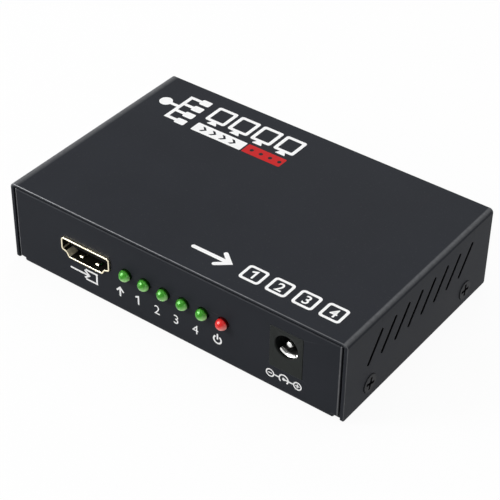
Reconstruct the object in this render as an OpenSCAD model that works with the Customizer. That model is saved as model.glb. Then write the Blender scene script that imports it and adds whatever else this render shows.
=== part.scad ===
// Video splitter: one input socket, four output sockets and a power jack on a board
// inside a folded sheet-steel case. Millimetres, +X right, +Y to the rear, +Z up.
// The origin is the middle of the underside.

/* [Case] */
// Width over the cover's side walls
case_w = 96; // [90:1:130]
// Depth of the cover from its front edge to its rear edge
case_d = 61; // [56:1:90]
// Height from the underside to the top
case_h = 22.4; // [20:0.1:32]
// Height of the cover's lower edges above the underside
cover_lift = 0.4; // [0.2:0.1:1]
// Sheet thickness of the cover and the tray
sheet_t = 0.9; // [0.5:0.1:1.2]
// Inside radius of the folds
fold_r = 0.2; // [0.1:0.1:1]
// Gap between a panel's side edges and the cover's walls
panel_side_gap = 0.5; // [0.2:0.1:1.2]
// Gap between a panel's top edge and the cover
panel_top_gap = 0.1; // [0.1:0.1:1]
// How far the front and rear panels sit behind the cover's edges
panel_inset = 0; // [0:0.1:1]
// Width of the notch at each lower corner of a panel
notch_w = 1.5; // [1:0.1:3]
// Height of the notch at each lower corner of a panel
notch_h = 1.3; // [0.5:0.1:2]

/* [Side vents] */
// Slots in each side wall
vent_count = 8; // [4:1:8]
// Distance between slots
vent_pitch = 5.45; // [4:0.01:6]
// Width of a slot
vent_w = 0.9; // [0.6:0.1:1.5]
// Rise of a slot between its end centres
vent_rise = 6.6; // [3:0.1:9]
// Lean of a slot towards the rear, in degrees
vent_lean = 36; // [0:1:45]
// Height of the middle of the slots
vent_z = 14.3; // [12:0.1:15]

/* [Cover screws] */
// Thread diameter
screw_d = 2.5; // [2:0.1:3.5]
// Length over all
screw_len = 4; // [3.5:0.1:4.5]
// Diameter of the countersunk head
screw_head_d = 4.7; // [4:0.1:5.8]
// Height of the straight rim of the head
screw_rim_t = 0.25; // [0.15:0.05:0.4]
// How far the heads stand out of the cover
screw_proud = 0.2; // [0:0.05:0.3]
// Clearance between the heads and the cover's countersinks
screw_seat_gap = 0.2; // [0.1:0.05:0.3]
// Distance of the screws from the cover's front and rear edges
screw_inset = 10.2; // [9:0.05:13]
// Height of the screws above the underside
screw_z = 4.65; // [3.2:0.05:6]
// Length of the tray's tabs behind the screws
tab_l = 12; // [8:0.5:14]
// Metal of a tab above the screw's middle
tab_over = 3.4; // [2.5:0.1:5]
// Gap between a tab and the cover's wall
tab_gap = 0.15; // [0.1:0.05:0.3]
// Slit on each side of a tab
tab_slit = 1; // [0.5:0.1:1.5]
// Outside diameter of the drawn collar that holds the thread
collar_d = 4.2; // [3.6:0.1:5.6]
// Length of the collar
collar_len = 1.2; // [0.6:0.1:1.6]

/* [Board] */
// Board thickness
board_t = 1.6; // [1:0.1:2]
// Height of the standoffs under the board
standoff_h = 4.2; // [3:0.1:6]
// Outside diameter of the standoffs
standoff_d = 5; // [4.4:0.1:6]
// Diameter of the spigot pressed into the tray
spigot_d = 4; // [3.6:0.1:4.2]
// Distance of the standoffs from the board's side edges
standoff_side = 3.6; // [3:0.1:4]
// Distance of the standoffs from the board's front and rear edges
standoff_end = 16.6; // [16:0.1:18]
// Gap between the board's side edges and the cover's walls
board_side_gap = 4.2; // [4:0.1:6]
// Gap between the board's front and rear edges and the panels
board_end_gap = 0.4; // [0.2:0.1:1]
// Thread diameter of the board screws
board_screw_d = 2.9; // [2.5:0.1:3]
// Length of the board screws under the head
board_screw_len = 5; // [4:0.1:5.5]
// Head diameter of the board screws
board_head_d = 5; // [4:0.1:5.5]
// Head height of the board screws
board_head_t = 1.8; // [1.2:0.1:2.4]
// Clearance around the board screws in the board
board_hole_gap = 0.2; // [0.1:0.05:0.4]
// Span of the cross recess in a screw head
cross_span = 2.6; // [2:0.1:3.4]
// Depth of the cross recess in a screw head
cross_depth = 1; // [0.8:0.1:1.6]

/* [Video sockets] */
// Opening width of a socket
socket_w = 14; // [13:0.1:15]
// Opening height of a socket
socket_h = 4.55; // [4:0.05:5]
// Length of the upright sides below the top
socket_side = 2.9; // [2.4:0.1:3.2]
// Width of the flat bottom
socket_low_w = 9.9; // [9:0.1:10.5]
// Thickness of the socket's steel shell
shell_t = 0.4; // [0.25:0.05:0.5]
// Length of the shell
shell_len = 11.5; // [10:0.1:13]
// How far the sockets stand out of the panels
socket_proud = 0.5; // [0.2:0.1:1]
// Height of a socket's middle above the board
socket_lift = 4.7; // [3.6:0.1:5]
// Gap between a shell and the hole in its panel
socket_gap = 0.2; // [0.1:0.05:0.4]
// Distance of the input socket's middle from the case's left side
input_from_left = 23.1; // [20:0.1:24]
// Number of output sockets
output_count = 4; // [4:1:4]
// Distance of the outer output sockets' middles from the board's side edges
output_from_edge = 11.5; // [10:0.1:12]
// Step in and step down of the shoulder under each upright side
socket_shoulder = [1.35, 0.45]; // [0.3:0.05:1.5]
// Corner radii of the opening from the bottom up: floor, hollow, shoulder, roof
socket_radii = [0.4, 0.9, 0.3, 0.5]; // [0.2:0.05:1]

/* [Socket insides] */
// Insulator behind the shell
socket_back_t = 1.5; // [1:0.1:2]
// Depth of the tongue's tip behind the mouth
socket_tip_y = 1.5; // [1:0.1:3]
// Depth of the insulator's block behind the mouth
socket_block_y = 7.5; // [6.5:0.1:8.5]
// Width of the tongue
tongue_w = 11.6; // [11:0.1:12]
// Thickness of the tongue
tongue_t = 1.4; // [1.2:0.1:1.6]
// Height of the tongue above the opening's middle
tongue_z = 0.2; // [0:0.05:0.4]
// Contacts on the tongue's upper and lower flats
contact_rows = [10, 9]; // [5:1:10]
// Distance between contacts of a row
contact_pitch = 1; // [0.8:0.05:1.1]
// Width of a contact
contact_w = 0.3; // [0.2:0.05:0.4]
// Thickness of a contact
contact_t = 0.15; // [0.1:0.05:0.2]
// Distance of the contacts from the tongue's tip
contact_setback = 0.4; // [0.2:0.1:1]
// Length of a contact's foot on the board
contact_foot = 1.2; // [0.8:0.1:1.6]
// Width of the shell's legs
leg_w = 1.4; // [1:0.1:2]
// Depths of the legs behind the mouth
leg_ys = [4, 9.5]; // [3.5:0.1:9.5]
// Reach of the legs below the board
leg_below = 0.8; // [0.4:0.1:1.5]
// Clearance around the legs in the board
leg_gap = 0.2; // [0.1:0.05:0.4]
// Width of a spring finger
finger_w = 1.5; // [1:0.1:2]
// Length of a spring finger
finger_len = 4.6; // [3:0.1:5]
// Depth of a finger's tip behind the mouth
finger_tip_y = 1.4; // [1:0.1:2]
// Distance of the fingers from the socket's middle
finger_x = 2.45; // [1.6:0.05:2.8]
// How far a finger's tip dips into the opening
finger_dip = 0.45; // [0.2:0.05:0.6]
// Slit around a finger
finger_slit = 0.25; // [0.15:0.05:0.4]

/* [Lamps] */
// Diameter of a lamp
led_d = 3; // [2.8:0.1:3.2]
// Diameter of a lamp's rim
led_rim_d = 3.8; // [3.5:0.1:4.4]
// Thickness of a lamp's rim
led_rim_t = 1; // [0.6:0.1:1.4]
// Length of a lamp over all
led_len = 5.2; // [4.8:0.1:6]
// How far the lamps stand out of the front panel
led_proud = 2; // [1.6:0.1:2.8]
// Distance between lamps
led_pitch = 5.6; // [5:0.05:6]
// Middle of the row of lamps from the middle of the case
led_row_x = 1.3; // [0:0.1:3]
// Height of the lamps above the board
led_lift = 5.1; // [3.5:0.1:7]
// Clearance around a lamp in the front panel
led_gap = 0.1; // [0.05:0.05:0.3]
// Distance between the two leads of a lamp
lead_pitch = 2.54; // [2:0.01:2.6]
// Side of a square lead
lead_t = 0.5; // [0.4:0.05:0.6]
// Run of the leads behind a lamp before they turn down
lead_back = 1.2; // [0.8:0.1:2]
// Reach of the leads below the board
lead_below = 1; // [0.5:0.1:1.5]
// Clearance around the leads in the board
lead_hole_gap = 0.1; // [0.05:0.05:0.2]

/* [Power jack] */
// Width of the jack's face
jack_w = 8.8; // [8.6:0.1:10]
// Height of the jack's face
jack_h = 11.4; // [10.4:0.1:11.8]
// Length of the jack
jack_len = 14; // [12.5:0.1:15]
// Thickness of the jack's face block
jack_face_t = 3.4; // [2:0.1:5]
// Distance of the jack's middle from the case's right side
jack_from_right = 15.5; // [14:0.1:17]
// Height of the jack's axis above the board
jack_lift = 7.1; // [6.2:0.1:7.2]
// How far the jack stands out of the front panel
jack_proud = 0.1; // [0.1:0.1:1]
// Gap between the jack and the hole in the front panel
jack_gap = 0.1; // [0.05:0.05:0.4]
// Diameter of the hole in the jack's face
jack_hole_d = 6.2; // [5.8:0.1:6.6]
// Diameter of the hollow behind the face
jack_bore_d = 7; // [6.8:0.1:7.4]
// Thickness of the lip around the hole
jack_lip = 0.6; // [0.4:0.1:1]
// Depth of the hollow behind the face
jack_bore_len = 10.2; // [9.5:0.1:11]
// Diameter of the middle pin
jack_pin_d = 2; // [1.6:0.1:2.6]
// How far the pin's tip lies behind the face
jack_pin_recess = 1.1; // [0.6:0.1:2]
// Inside radius of the spring leaf that grips a plug
leaf_r = 2.5; // [2.4:0.05:2.6]
// Thickness of the spring leaf
leaf_t = 0.3; // [0.2:0.05:0.4]
// Half of the arc that the leaf covers, in degrees
leaf_arc = 60; // [40:1:70]
// Clearance at the front and rear ends of the leaf
leaf_end_gap = 0.3; // [0.2:0.05:0.5]
// Wall beside the hollow
jack_wall = 0.8; // [0.7:0.1:1]
// Thickness of the terminals
terminal_t = 0.3; // [0.2:0.05:0.4]
// Width of the leaf's terminal
terminal_w = 2; // [1.5:0.1:2.4]
// Gap between the leaf's rear end and its terminal
terminal_gap = 0.1; // [0.05:0.05:0.15]
// Reach of the terminals below the board
terminal_below = 1; // [0.5:0.1:1.5]
// Clearance around the terminals in the board
terminal_slot_gap = 0.2; // [0.1:0.05:0.4]
// Width of the pin's strip behind the jack
pin_strip_w = 2.4; // [1.6:0.1:3]
// Taper at the pin's tip
pin_taper = 0.4; // [0.2:0.1:0.6]
// Diameter of the pin's root in the jack's rear wall
pin_root_d = 2.8; // [2.6:0.1:3.4]

/* [Electronics] */
// Side of the splitter chip
chip_w = 14; // [10:0.5:16]
// Height of the splitter chip
chip_t = 1.4; // [1:0.1:2]
// Leads on each side of the splitter chip
chip_leads_per_side = 16; // [8:1:20]
// Thickness of the thermal pad
pad_t = 0.5; // [0.3:0.1:1]
// Side of the heat sink
sink_w = 22; // [18:0.5:23]
// Height of the heat sink
sink_h = 6.5; // [4:0.5:8]
// Thickness of the heat sink's base
sink_base_t = 1.5; // [1:0.1:2.5]
// Number of heat sink fins
sink_fins = 8; // [5:1:10]
// Thickness of a fin
sink_fin_t = 0.9; // [0.6:0.1:1.2]
// Diameter of the bulk capacitors
bulk_d = 6.3; // [5:0.1:6.8]
// Height of the bulk capacitors
bulk_h = 7.7; // [5:0.1:9]
// Side of the choke
choke_w = 7; // [5:0.1:8]
// Height of the choke
choke_h = 3.5; // [2:0.1:5]
// Middle of the splitter chip
chip_at = [0, 1]; // [-2:0.5:2]
// Gap between chip bodies and the board
chip_up = 0.1; // [0.05:0.05:0.2]
// Bare stretch at the splitter chip's corners
chip_corner = 1; // [0.6:0.1:1.6]
// Width of the splitter chip's leads
chip_lead_w = 0.3; // [0.2:0.05:0.35]
// Run of a lead before and after its bend
gull_run = 0.6; // [0.4:0.1:0.8]
// Thickness of a lead
gull_t = 0.2; // [0.1:0.05:0.25]
// Middle of the controller chip
controller_at = [-24, 6]; // [-26:0.5:8]
// Width, depth and height of the controller chip
controller_size = [6.5, 4.4, 1]; // [0.8:0.1:7]
// Leads on each long side of the controller chip
controller_leads = 10; // [4:1:10]
// Bare stretch at the controller chip's corners
controller_corner = 0.3; // [0.2:0.05:0.5]
// Width of the controller chip's leads
controller_lead_w = 0.25; // [0.2:0.05:0.3]
// Middle of the memory chip
memory_at = [-26, -4]; // [-27:0.5:0]
// Width, depth and height of the memory chip
memory_size = [5, 3.9, 1.5]; // [1:0.1:5.4]
// Leads on each long side of the memory chip
memory_leads = 4; // [3:1:5]
// Bare stretch at the memory chip's corners
memory_corner = 0.6; // [0.3:0.1:1]
// Width of the memory chip's leads
memory_lead_w = 0.4; // [0.3:0.05:0.5]
// Gap between the ceramic capacitors and the crystal
crystal_gap = 0.95; // [0.5:0.05:2]
// Distance of the crystal's middle from the middle of the case
crystal_y = -6; // [-8:0.5:0]
// Width, length and height of the crystal
crystal_size = [4.5, 11.5, 3.6]; // [2:0.1:12]
// Distance of the bulk capacitors from the jack's axis
bulk_from_jack = 11; // [10:0.1:12]
// Distances of the bulk capacitors behind the lamps' leads
bulk_from_lead = [5.8, 13.8]; // [5:0.1:16]
// Gap between the jack and the choke
choke_gap = 2.6; // [2:0.1:3.4]
// Distance of the choke's middle from the jack's axis
choke_shift = 1; // [0:0.1:2]
// Height of the choke's foot
choke_foot_t = 1.2; // [0.6:0.1:1.6]
// Set-back of the choke's round from its foot
choke_round = 0.3; // [0.1:0.1:0.6]
// Width, depth and height of a regulator
regulator_size = [6.5, 3.5, 1.6]; // [1:0.1:7]
// Gap between the choke and the regulators' legs
regulator_gap = 2; // [1:0.1:3]
// Distances of the regulators from the jack's axis
regulator_shift = [-5, 3.5]; // [-6:0.1:4]
// Legs of a regulator
regulator_legs = 3; // [2:1:4]
// Width of a regulator's leg
regulator_leg_w = 0.7; // [0.5:0.05:0.9]
// Width of a regulator's tab
regulator_tab_w = 3; // [2:0.1:4]
// Length, width and height of the small chip parts
small_size = [1.6, 0.8, 0.7]; // [0.4:0.05:2]
// Length, width and height of a surge array
array_size = [2.5, 1, 0.5]; // [0.4:0.1:3]
// Distance of the surge arrays from a socket's middle
array_x = 3; // [2:0.1:4]
// Distance of the surge arrays behind a socket
array_y = 3.2; // [2.4:0.1:4]
// Ceramic capacitors on each side of the chip
ceramic_rows = 8; // [4:1:9]
// Distance between ceramic capacitors
ceramic_pitch = 2.4; // [1.6:0.1:2.6]
// Distance of the ceramic capacitors from the heat sink
ceramic_gap = 2.5; // [1.5:0.1:3]
// Distance of the lamps' resistors behind their leads
led_resistor_gap = 3.6; // [2:0.1:4]
// Resistors beside the controller chip
pull_up_count = 5; // [2:1:6]
// Distance between those resistors
pull_up_pitch = 2; // [1.8:0.1:2.4]
// Distance of those resistors from the controller chip's middle
pull_up_y = 5.2; // [4.6:0.1:5.6]

/* [Hidden] */
$fn = 64;

// Reach of cutting shapes past the faces that they cut
past = 1;
// Play of threads, pressed spigots and pieces set into one another
snug = 0.05;
// Steps of each rounded corner of a socket's outline
corner_steps = 4;

// Cover and tray
inner_half_w = case_w / 2 - sheet_t;
panel_w = 2 * (inner_half_w - panel_side_gap);
panel_top = case_h - sheet_t - panel_top_gap;
tray_d = case_d - 2 * panel_inset;
panel_y = tray_d / 2;
fold_out_r = fold_r + sheet_t;
tab_half = inner_half_w - tab_gap;
tab_h = screw_z + tab_over;
screw_y = case_d / 2 - screw_inset;
screw_cone_h = (screw_head_d - screw_d) / 2;

// Board
board_w = 2 * (inner_half_w - board_side_gap);
board_d = 2 * (panel_y - sheet_t - board_end_gap);
board_under = sheet_t + standoff_h;
board_top = board_under + board_t;
standoff_x = board_w / 2 - standoff_side;
standoff_y = board_d / 2 - standoff_end;
board_spots = [for (sx = [-1, 1]) for (sy = [-1, 1]) [sx * standoff_x, sy * standoff_y]];

// Video sockets
socket_z = board_top + socket_lift;
mouth_y = panel_y + socket_proud;
input_x = input_from_left - case_w / 2;
output_reach = board_w / 2 - output_from_edge;
output_x = spread(output_count, -2 * output_reach);
socket_places = concat([[input_x, -1]], [for (x = output_x) [x, 1]]);
socket_base_y = shell_len + socket_back_t;
contact_start_y = socket_tip_y + contact_setback;

// Lamps
led_z = board_top + led_lift;
led_tip_y = -panel_y - led_proud;
led_back_y = led_tip_y + led_len;
led_count = output_count + 2;
led_x = [for (x = spread(led_count, (led_count - 1) * led_pitch)) led_row_x + x];
lead_y = led_back_y + lead_back;
lead_hole_d = lead_t * sqrt(2) + 2 * lead_hole_gap;

// Power jack
jack_x = case_w / 2 - jack_from_right;
jack_face_y = -panel_y - jack_proud;
jack_rear_y = jack_face_y + jack_len;
jack_z = board_top + jack_lift;
jack_body_w = jack_bore_d + 2 * jack_wall;
leaf_front = jack_lip + leaf_end_gap;
leaf_rear = jack_bore_len - leaf_end_gap;
terminal_y = leaf_rear + terminal_gap;

// Electronics on the board, placed from the chip, the jack and the sockets
chip_size = [chip_w, chip_w, chip_t];
pad_z = board_top + chip_up + chip_t;
sink_z = pad_z + pad_t;
bulk_x = jack_x - bulk_from_jack;
choke_at = [jack_x - choke_shift, jack_rear_y + choke_gap + choke_w / 2];
regulator_y = choke_at[1] + choke_w / 2 + regulator_gap + regulator_size[1];
regulator_xs = [for (shift = regulator_shift) jack_x + shift];
ceramic_x = sink_w / 2 + ceramic_gap;
crystal_at = [chip_at[0] - ceramic_x - (small_size[0] + crystal_size[0]) / 2 - crystal_gap, crystal_y];
led_resistor_y = lead_y + led_resistor_gap;

sides = ["left", "right"];
ends = ["front", "rear"];
output_names = [for (i = [1:output_count]) str(i)];

function screw_name(end, side) = str("cover_screw_", ends[end], "_", sides[side]);

function unit(v) = v / norm(v);

// Places of count things spread evenly over span about 0
function spread(count, span) =
    count == 1 ? [0] : [for (i = [0:count - 1]) (i / (count - 1) - 0.5) * span];

// Outward normal of the edge from p to q of an outline that runs anticlockwise
function edge_out(p, q) = unit([q[1] - p[1], p[0] - q[0]]);

// Corner p moved so that both edges beside it move out by grow
function grown_corner(before, p, after, grow) =
    let (n1 = edge_out(before, p), n2 = edge_out(p, after))
    p + grow * (n1 + n2) / (1 + n1 * n2);

// Points of the arc of radius r that rounds the corner p
function round_corner(before, p, after, r) =
    let (u = unit(before - p), v = unit(after - p))
    let (half = acos(u * v) / 2)
    let (c = p + unit(u + v) * r / sin(half))
    let (from = p + u * r / tan(half) - c, to = p + v * r / tan(half) - c)
    let (start = atan2(from[1], from[0]), sweep = atan2(cross(from, to), from * to))
    [for (i = [0:corner_steps])
        let (angle = start + sweep * i / corner_steps)
        c + r * [cos(angle), sin(angle)]];

// Outline of a socket's opening, moved out by grow: upright sides and drawn-in lower corners
function socket_outline(grow) =
    let (half = [
        [socket_low_w / 2, -socket_h / 2],
        [socket_w / 2, socket_h / 2 - socket_side] - socket_shoulder,
        [socket_w / 2, socket_h / 2 - socket_side],
        [socket_w / 2, socket_h / 2]
    ])
    let (radii = socket_radii + grow * [1, -1, 1, 1])
    let (points = concat(half, [for (i = [3:-1:0]) [-half[i][0], half[i][1]]]))
    let (rounds = concat(radii, [for (i = [3:-1:0]) radii[i]]))
    let (n = len(points))
    let (moved = [for (i = [0:n - 1])
        grown_corner(points[(i + n - 1) % n], points[i], points[(i + 1) % n], grow)])
    [for (i = [0:n - 1])
        each round_corner(moved[(i + n - 1) % n], moved[i], moved[(i + 1) % n], rounds[i])];

// Extrudes an outline drawn in X and Z along Y
module along_y(from, to) {
    translate([0, to, 0])
        rotate([90, 0, 0])
            linear_extrude(to - from)
                children();
}

// Extrudes an outline drawn in Y and Z along X
module along_x(from, to) {
    translate([from, 0, 0])
        rotate([90, 0, 90])
            linear_extrude(to - from)
                children();
}

// A box that is centred in X and Y and stands on z = 0
module block(size) {
    translate([-size[0] / 2, -size[1] / 2, 0])
        cube(size);
}

// A rectangle standing on y = 0 with round lower corners
module tub(w, h, r) {
    translate([-w / 2, r])
        square([w, h - r]);
    translate([r - w / 2, 0])
        square([w - 2 * r, r]);
    for (side = [-1, 1])
        translate([side * (w / 2 - r), r])
            circle(r);
}

// Section of a sheet folded up on both sides
module folded_sheet(w, h) {
    difference() {
        tub(w, h, fold_out_r);
        translate([0, sheet_t])
            tub(w - 2 * sheet_t, h, fold_r);
    }
}

// One leaning vent slot, drawn in Y and Z
module vent_slot() {
    rotate(-vent_lean) {
        square([vent_w, vent_rise / cos(vent_lean)], center = true);
        for (side = [-1, 1])
            translate([0, side * vent_rise / cos(vent_lean) / 2])
                circle(vent_w / 2);
    }
}

// A shape at each of the four cover screws, turned so that its +Z points out of the side wall
module at_cover_screws(x) {
    for (side = [0, 1])
        mirror([side, 0, 0])
            for (end = [-1, 1])
                translate([x, end * screw_y, screw_z])
                    rotate([0, 90, 0])
                        children();
}

// Space of a countersunk screw with its head's top at z = 0, and a hole below it
module screw_space(gap, hole_d, depth) {
    translate([0, 0, -screw_rim_t])
        cylinder(d = screw_head_d + 2 * gap, h = screw_rim_t + past);
    translate([0, 0, -screw_rim_t - screw_cone_h])
        cylinder(d1 = screw_d + 2 * gap, d2 = screw_head_d + 2 * gap, h = screw_cone_h);
    translate([0, 0, -depth])
        cylinder(d = hole_d, h = depth);
}

module top_cover() {
    color("#36383c")
    difference() {
        along_y(-case_d / 2, case_d / 2)
            translate([0, case_h])
                mirror([0, 1])
                    folded_sheet(case_w, case_h - cover_lift);
        for (side = [-1, 1])
            for (y = spread(vent_count, (vent_count - 1) * vent_pitch))
                translate([side * (case_w - sheet_t) / 2, y, vent_z])
                    along_x(-sheet_t / 2 - past, sheet_t / 2 + past)
                        vent_slot();
        at_cover_screws(case_w / 2 + screw_proud)
            screw_space(screw_seat_gap, screw_d + 2 * screw_seat_gap, screw_len);
    }
}

// Places a socket's shape, drawn with its mouth at y = 0 and its depth along +Y
module at_socket(place) {
    translate([place[0], place[1] * mouth_y, socket_z])
        rotate([0, 0, place[1] < 0 ? 0 : 180])
            children();
}

// Holes of the front and rear panels
module panel_holes() {
    for (place = socket_places)
        at_socket(place)
            along_y(-past, socket_proud + sheet_t + past)
                polygon(socket_outline(shell_t + socket_gap));
    for (x = led_x)
        translate([x, -panel_y - past, led_z])
            rotate([-90, 0, 0])
                cylinder(d = led_d + 2 * led_gap, h = sheet_t + 2 * past);
    translate([jack_x - jack_w / 2 - jack_gap, -panel_y - past, board_top - jack_gap])
        cube([jack_w + 2 * jack_gap, sheet_t + 2 * past, jack_h + 2 * jack_gap]);
}

module bottom_tray() {
    color("#303236")
    difference() {
        union() {
            difference() {
                along_x(-panel_w / 2, panel_w / 2)
                    folded_sheet(tray_d, panel_top);
                for (sx = [-1, 1])
                    for (sy = [-1, 1]) {
                        translate([sx * panel_w / 2, sy * panel_y, -past])
                            block([2 * notch_w, 2 * fold_out_r, notch_h + past]);
                        translate([sx * inner_half_w, sy * screw_y, -past])
                            block([2 * (fold_out_r + tab_gap + tab_slit), tab_l + 2 * tab_slit, sheet_t + 2 * past]);
                    }
            }
            for (sy = [-1, 1])
                translate([0, sy * screw_y, 0])
                    along_y(-tab_l / 2, tab_l / 2)
                        folded_sheet(2 * tab_half, tab_h);
            at_cover_screws(tab_half - sheet_t - collar_len)
                cylinder(d = collar_d, h = collar_len + sheet_t / 2);
        }
        at_cover_screws(case_w / 2 + screw_proud)
            screw_space(screw_seat_gap, screw_d + 2 * snug, screw_len + collar_len + past);
        for (spot = board_spots)
            translate([spot[0], spot[1], -past])
                cylinder(d = spigot_d + 2 * snug, h = sheet_t + 2 * past);
        panel_holes();
    }
}

// Cross recess cut into a screw head, drawn downwards from z = 0
module cross_recess() {
    for (turn = [0, 90])
        rotate(turn)
            translate([0, 0, -cross_depth])
                block([cross_span, cross_span / 4, cross_depth + past]);
}

// Cone and shank of a cover screw with its head's top at z = 0
module screw_body() {
    translate([0, 0, -screw_rim_t - screw_cone_h])
        cylinder(d1 = screw_d, d2 = screw_head_d, h = screw_cone_h);
    translate([0, 0, -screw_len])
        cylinder(d = screw_d, h = screw_len - screw_rim_t);
}

// sx and sy give the corner: -1 or 1 for left or right and for front or rear
module cover_screw(sx, sy) {
    color("#2b2827")
    translate([sx * (case_w / 2 + screw_proud), sy * screw_y, screw_z])
        rotate([0, sx * 90, 0])
            difference() {
                union() {
                    screw_body();
                    translate([0, 0, -screw_rim_t])
                        cylinder(d = screw_head_d, h = screw_rim_t);
                }
                rotate(45)
                    cross_recess();
            }
}

// Slots and holes of the board for legs, leads and terminals
module board_holes() {
    for (place = socket_places)
        at_socket(place)
            for (y = leg_ys)
                for (side = [-1, 1])
                    translate([side * (socket_w + shell_t) / 2, y, -socket_z])
                        block([shell_t + 2 * leg_gap, leg_w + 2 * leg_gap, 2 * board_top]);
    for (x = led_x)
        for (side = [-1, 1])
            translate([x + side * lead_pitch / 2, lead_y - lead_t / 2, 0])
                cylinder(d = lead_hole_d, h = board_top + past);
    translate([jack_x, jack_face_y + terminal_y + terminal_t / 2, 0])
        block([terminal_w + 2 * terminal_slot_gap, terminal_t + 2 * terminal_slot_gap, board_top + past]);
    translate([jack_x, jack_rear_y + terminal_t / 2, 0])
        block([pin_strip_w + 2 * terminal_slot_gap, terminal_t + 2 * terminal_slot_gap, board_top + past]);
    for (spot = board_spots)
        translate([spot[0], spot[1], 0])
            cylinder(d = board_screw_d + 2 * board_hole_gap, h = board_top + past);
}

module circuit_board() {
    color("#1f5a34")
    difference() {
        translate([0, 0, board_under])
            block([board_w, board_d, board_t]);
        board_holes();
    }
}

module board_standoffs() {
    color("#c8c4b4")
    for (spot = board_spots)
        translate([spot[0], spot[1], 0])
            difference() {
                union() {
                    translate([0, 0, sheet_t])
                        cylinder(d = standoff_d, h = standoff_h);
                    translate([0, 0, snug])
                        cylinder(d = spigot_d, h = sheet_t);
                }
                translate([0, 0, -past])
                    cylinder(d = board_screw_d + 2 * snug, h = board_under + 2 * past);
            }
}

module board_screws() {
    color("#b9bbbd")
    for (spot = board_spots)
        translate([spot[0], spot[1], board_top])
            difference() {
                union() {
                    translate([0, 0, -board_screw_len])
                        cylinder(d = board_screw_d, h = board_screw_len);
                    cylinder(d = board_head_d, h = board_head_t);
                }
                translate([0, 0, board_head_t])
                    cross_recess();
            }
}

// Spring finger pressed in from a shell's flat wall, drawn for the floor at z = 0
module shell_finger() {
    tilt = asin(finger_dip / finger_len);
    translate([0, finger_tip_y + finger_len, 0])
        rotate([-tilt, 0, 0])
            translate([-finger_w / 2, -finger_len, 0])
                cube([finger_w, finger_len + shell_t, shell_t / 2]);
}

// Window around a spring finger, drawn for the floor at z = 0
module finger_window() {
    translate([-finger_w / 2 - finger_slit, finger_tip_y - finger_slit, -shell_t - past])
        cube([finger_w + 2 * finger_slit, finger_len + finger_slit, shell_t + 2 * past]);
}

// A shape at each spring finger: two in the floor of a shell and two in its roof
module at_fingers() {
    for (turn = [0, 180])
        rotate([0, turn, 0])
            for (side = [-1, 1])
                translate([side * finger_x, 0, -socket_h / 2])
                    children();
}

module socket_shell(place) {
    color("#d9c07a")
    at_socket(place) {
        difference() {
            along_y(0, shell_len)
                difference() {
                    polygon(socket_outline(shell_t));
                    polygon(socket_outline(0));
                }
            at_fingers()
                finger_window();
        }
        at_fingers()
            shell_finger();
        for (y = leg_ys)
            for (side = [-1, 1])
                translate([side * (socket_w + shell_t) / 2, y, board_under - leg_below - socket_z])
                    block([shell_t, leg_w, socket_lift + board_t + leg_below]);
    }
}

// Positions across a socket of one row of contacts
function contact_xs(row) =
    spread(contact_rows[row], (contact_rows[row] - 1) * contact_pitch);

// Height of the flat of the tongue that a row of contacts lies on
function contact_z(row) = tongue_z + (row == 0 ? tongue_t / 2 : -tongue_t / 2 - contact_t);

// One contact: its blade on the tongue, its run down the back and its foot on the board
module contact(x, z) {
    translate([x - contact_w / 2, contact_start_y, z])
        cube([contact_w, socket_base_y + contact_t - contact_start_y, contact_t]);
    translate([x - contact_w / 2, socket_base_y, -socket_lift])
        cube([contact_w, contact_t, z + socket_lift + contact_t]);
    translate([x - contact_w / 2, socket_base_y, -socket_lift])
        cube([contact_w, contact_foot, contact_t]);
}

module socket_contacts(place) {
    color("#d8b25a")
    at_socket(place)
        for (row = [0, 1])
            for (x = contact_xs(row))
                contact(x, contact_z(row));
}

module socket_insulator(place) {
    color("#1a1a1b")
    at_socket(place)
        difference() {
            union() {
                translate([-tongue_w / 2, socket_tip_y, tongue_z - tongue_t / 2])
                    cube([tongue_w, socket_block_y, tongue_t]);
                along_y(socket_block_y, shell_len + snug)
                    polygon(socket_outline(-snug));
                translate([-socket_w / 2, shell_len + snug, -socket_lift])
                    cube([socket_w, socket_base_y - shell_len - snug, socket_lift + socket_h / 2]);
            }
            for (row = [0, 1])
                for (x = contact_xs(row))
                    contact(x, contact_z(row));
        }
}

// One lamp: its rim, its round body and its domed front, at place x
module led(x, tint) {
    color(tint)
    translate([x, led_back_y, led_z])
        rotate([90, 0, 0]) {
            difference() {
                cylinder(d = led_rim_d, h = led_rim_t);
                translate([led_rim_d / 2 + led_d / 2, 0, -past])
                    block([led_rim_d, led_rim_d, led_rim_t + 2 * past]);
            }
            cylinder(d = led_d, h = led_len - led_d / 2);
            translate([0, 0, led_len - led_d / 2])
                sphere(d = led_d);
        }
}

module led_leads() {
    color("#c9cbce")
    for (x = led_x)
        for (side = [-1, 1])
            translate([x + side * lead_pitch / 2 - lead_t / 2, 0, 0]) {
                translate([0, led_back_y, led_z - lead_t / 2])
                    cube([lead_t, lead_back, lead_t]);
                translate([0, lead_y - lead_t, board_under - lead_below])
                    cube([lead_t, lead_t, led_z + lead_t / 2 - board_under + lead_below]);
            }
}

// Places a shape of the jack, drawn with its face at y = 0 and its axis at x = 0, z = 0
module at_jack() {
    translate([jack_x, jack_face_y, jack_z])
        children();
}

// A round bar along the jack's axis between two depths
module jack_round(d, from, to) {
    translate([0, from, 0])
        rotate([-90, 0, 0])
            cylinder(d = d, h = to - from);
}

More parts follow.
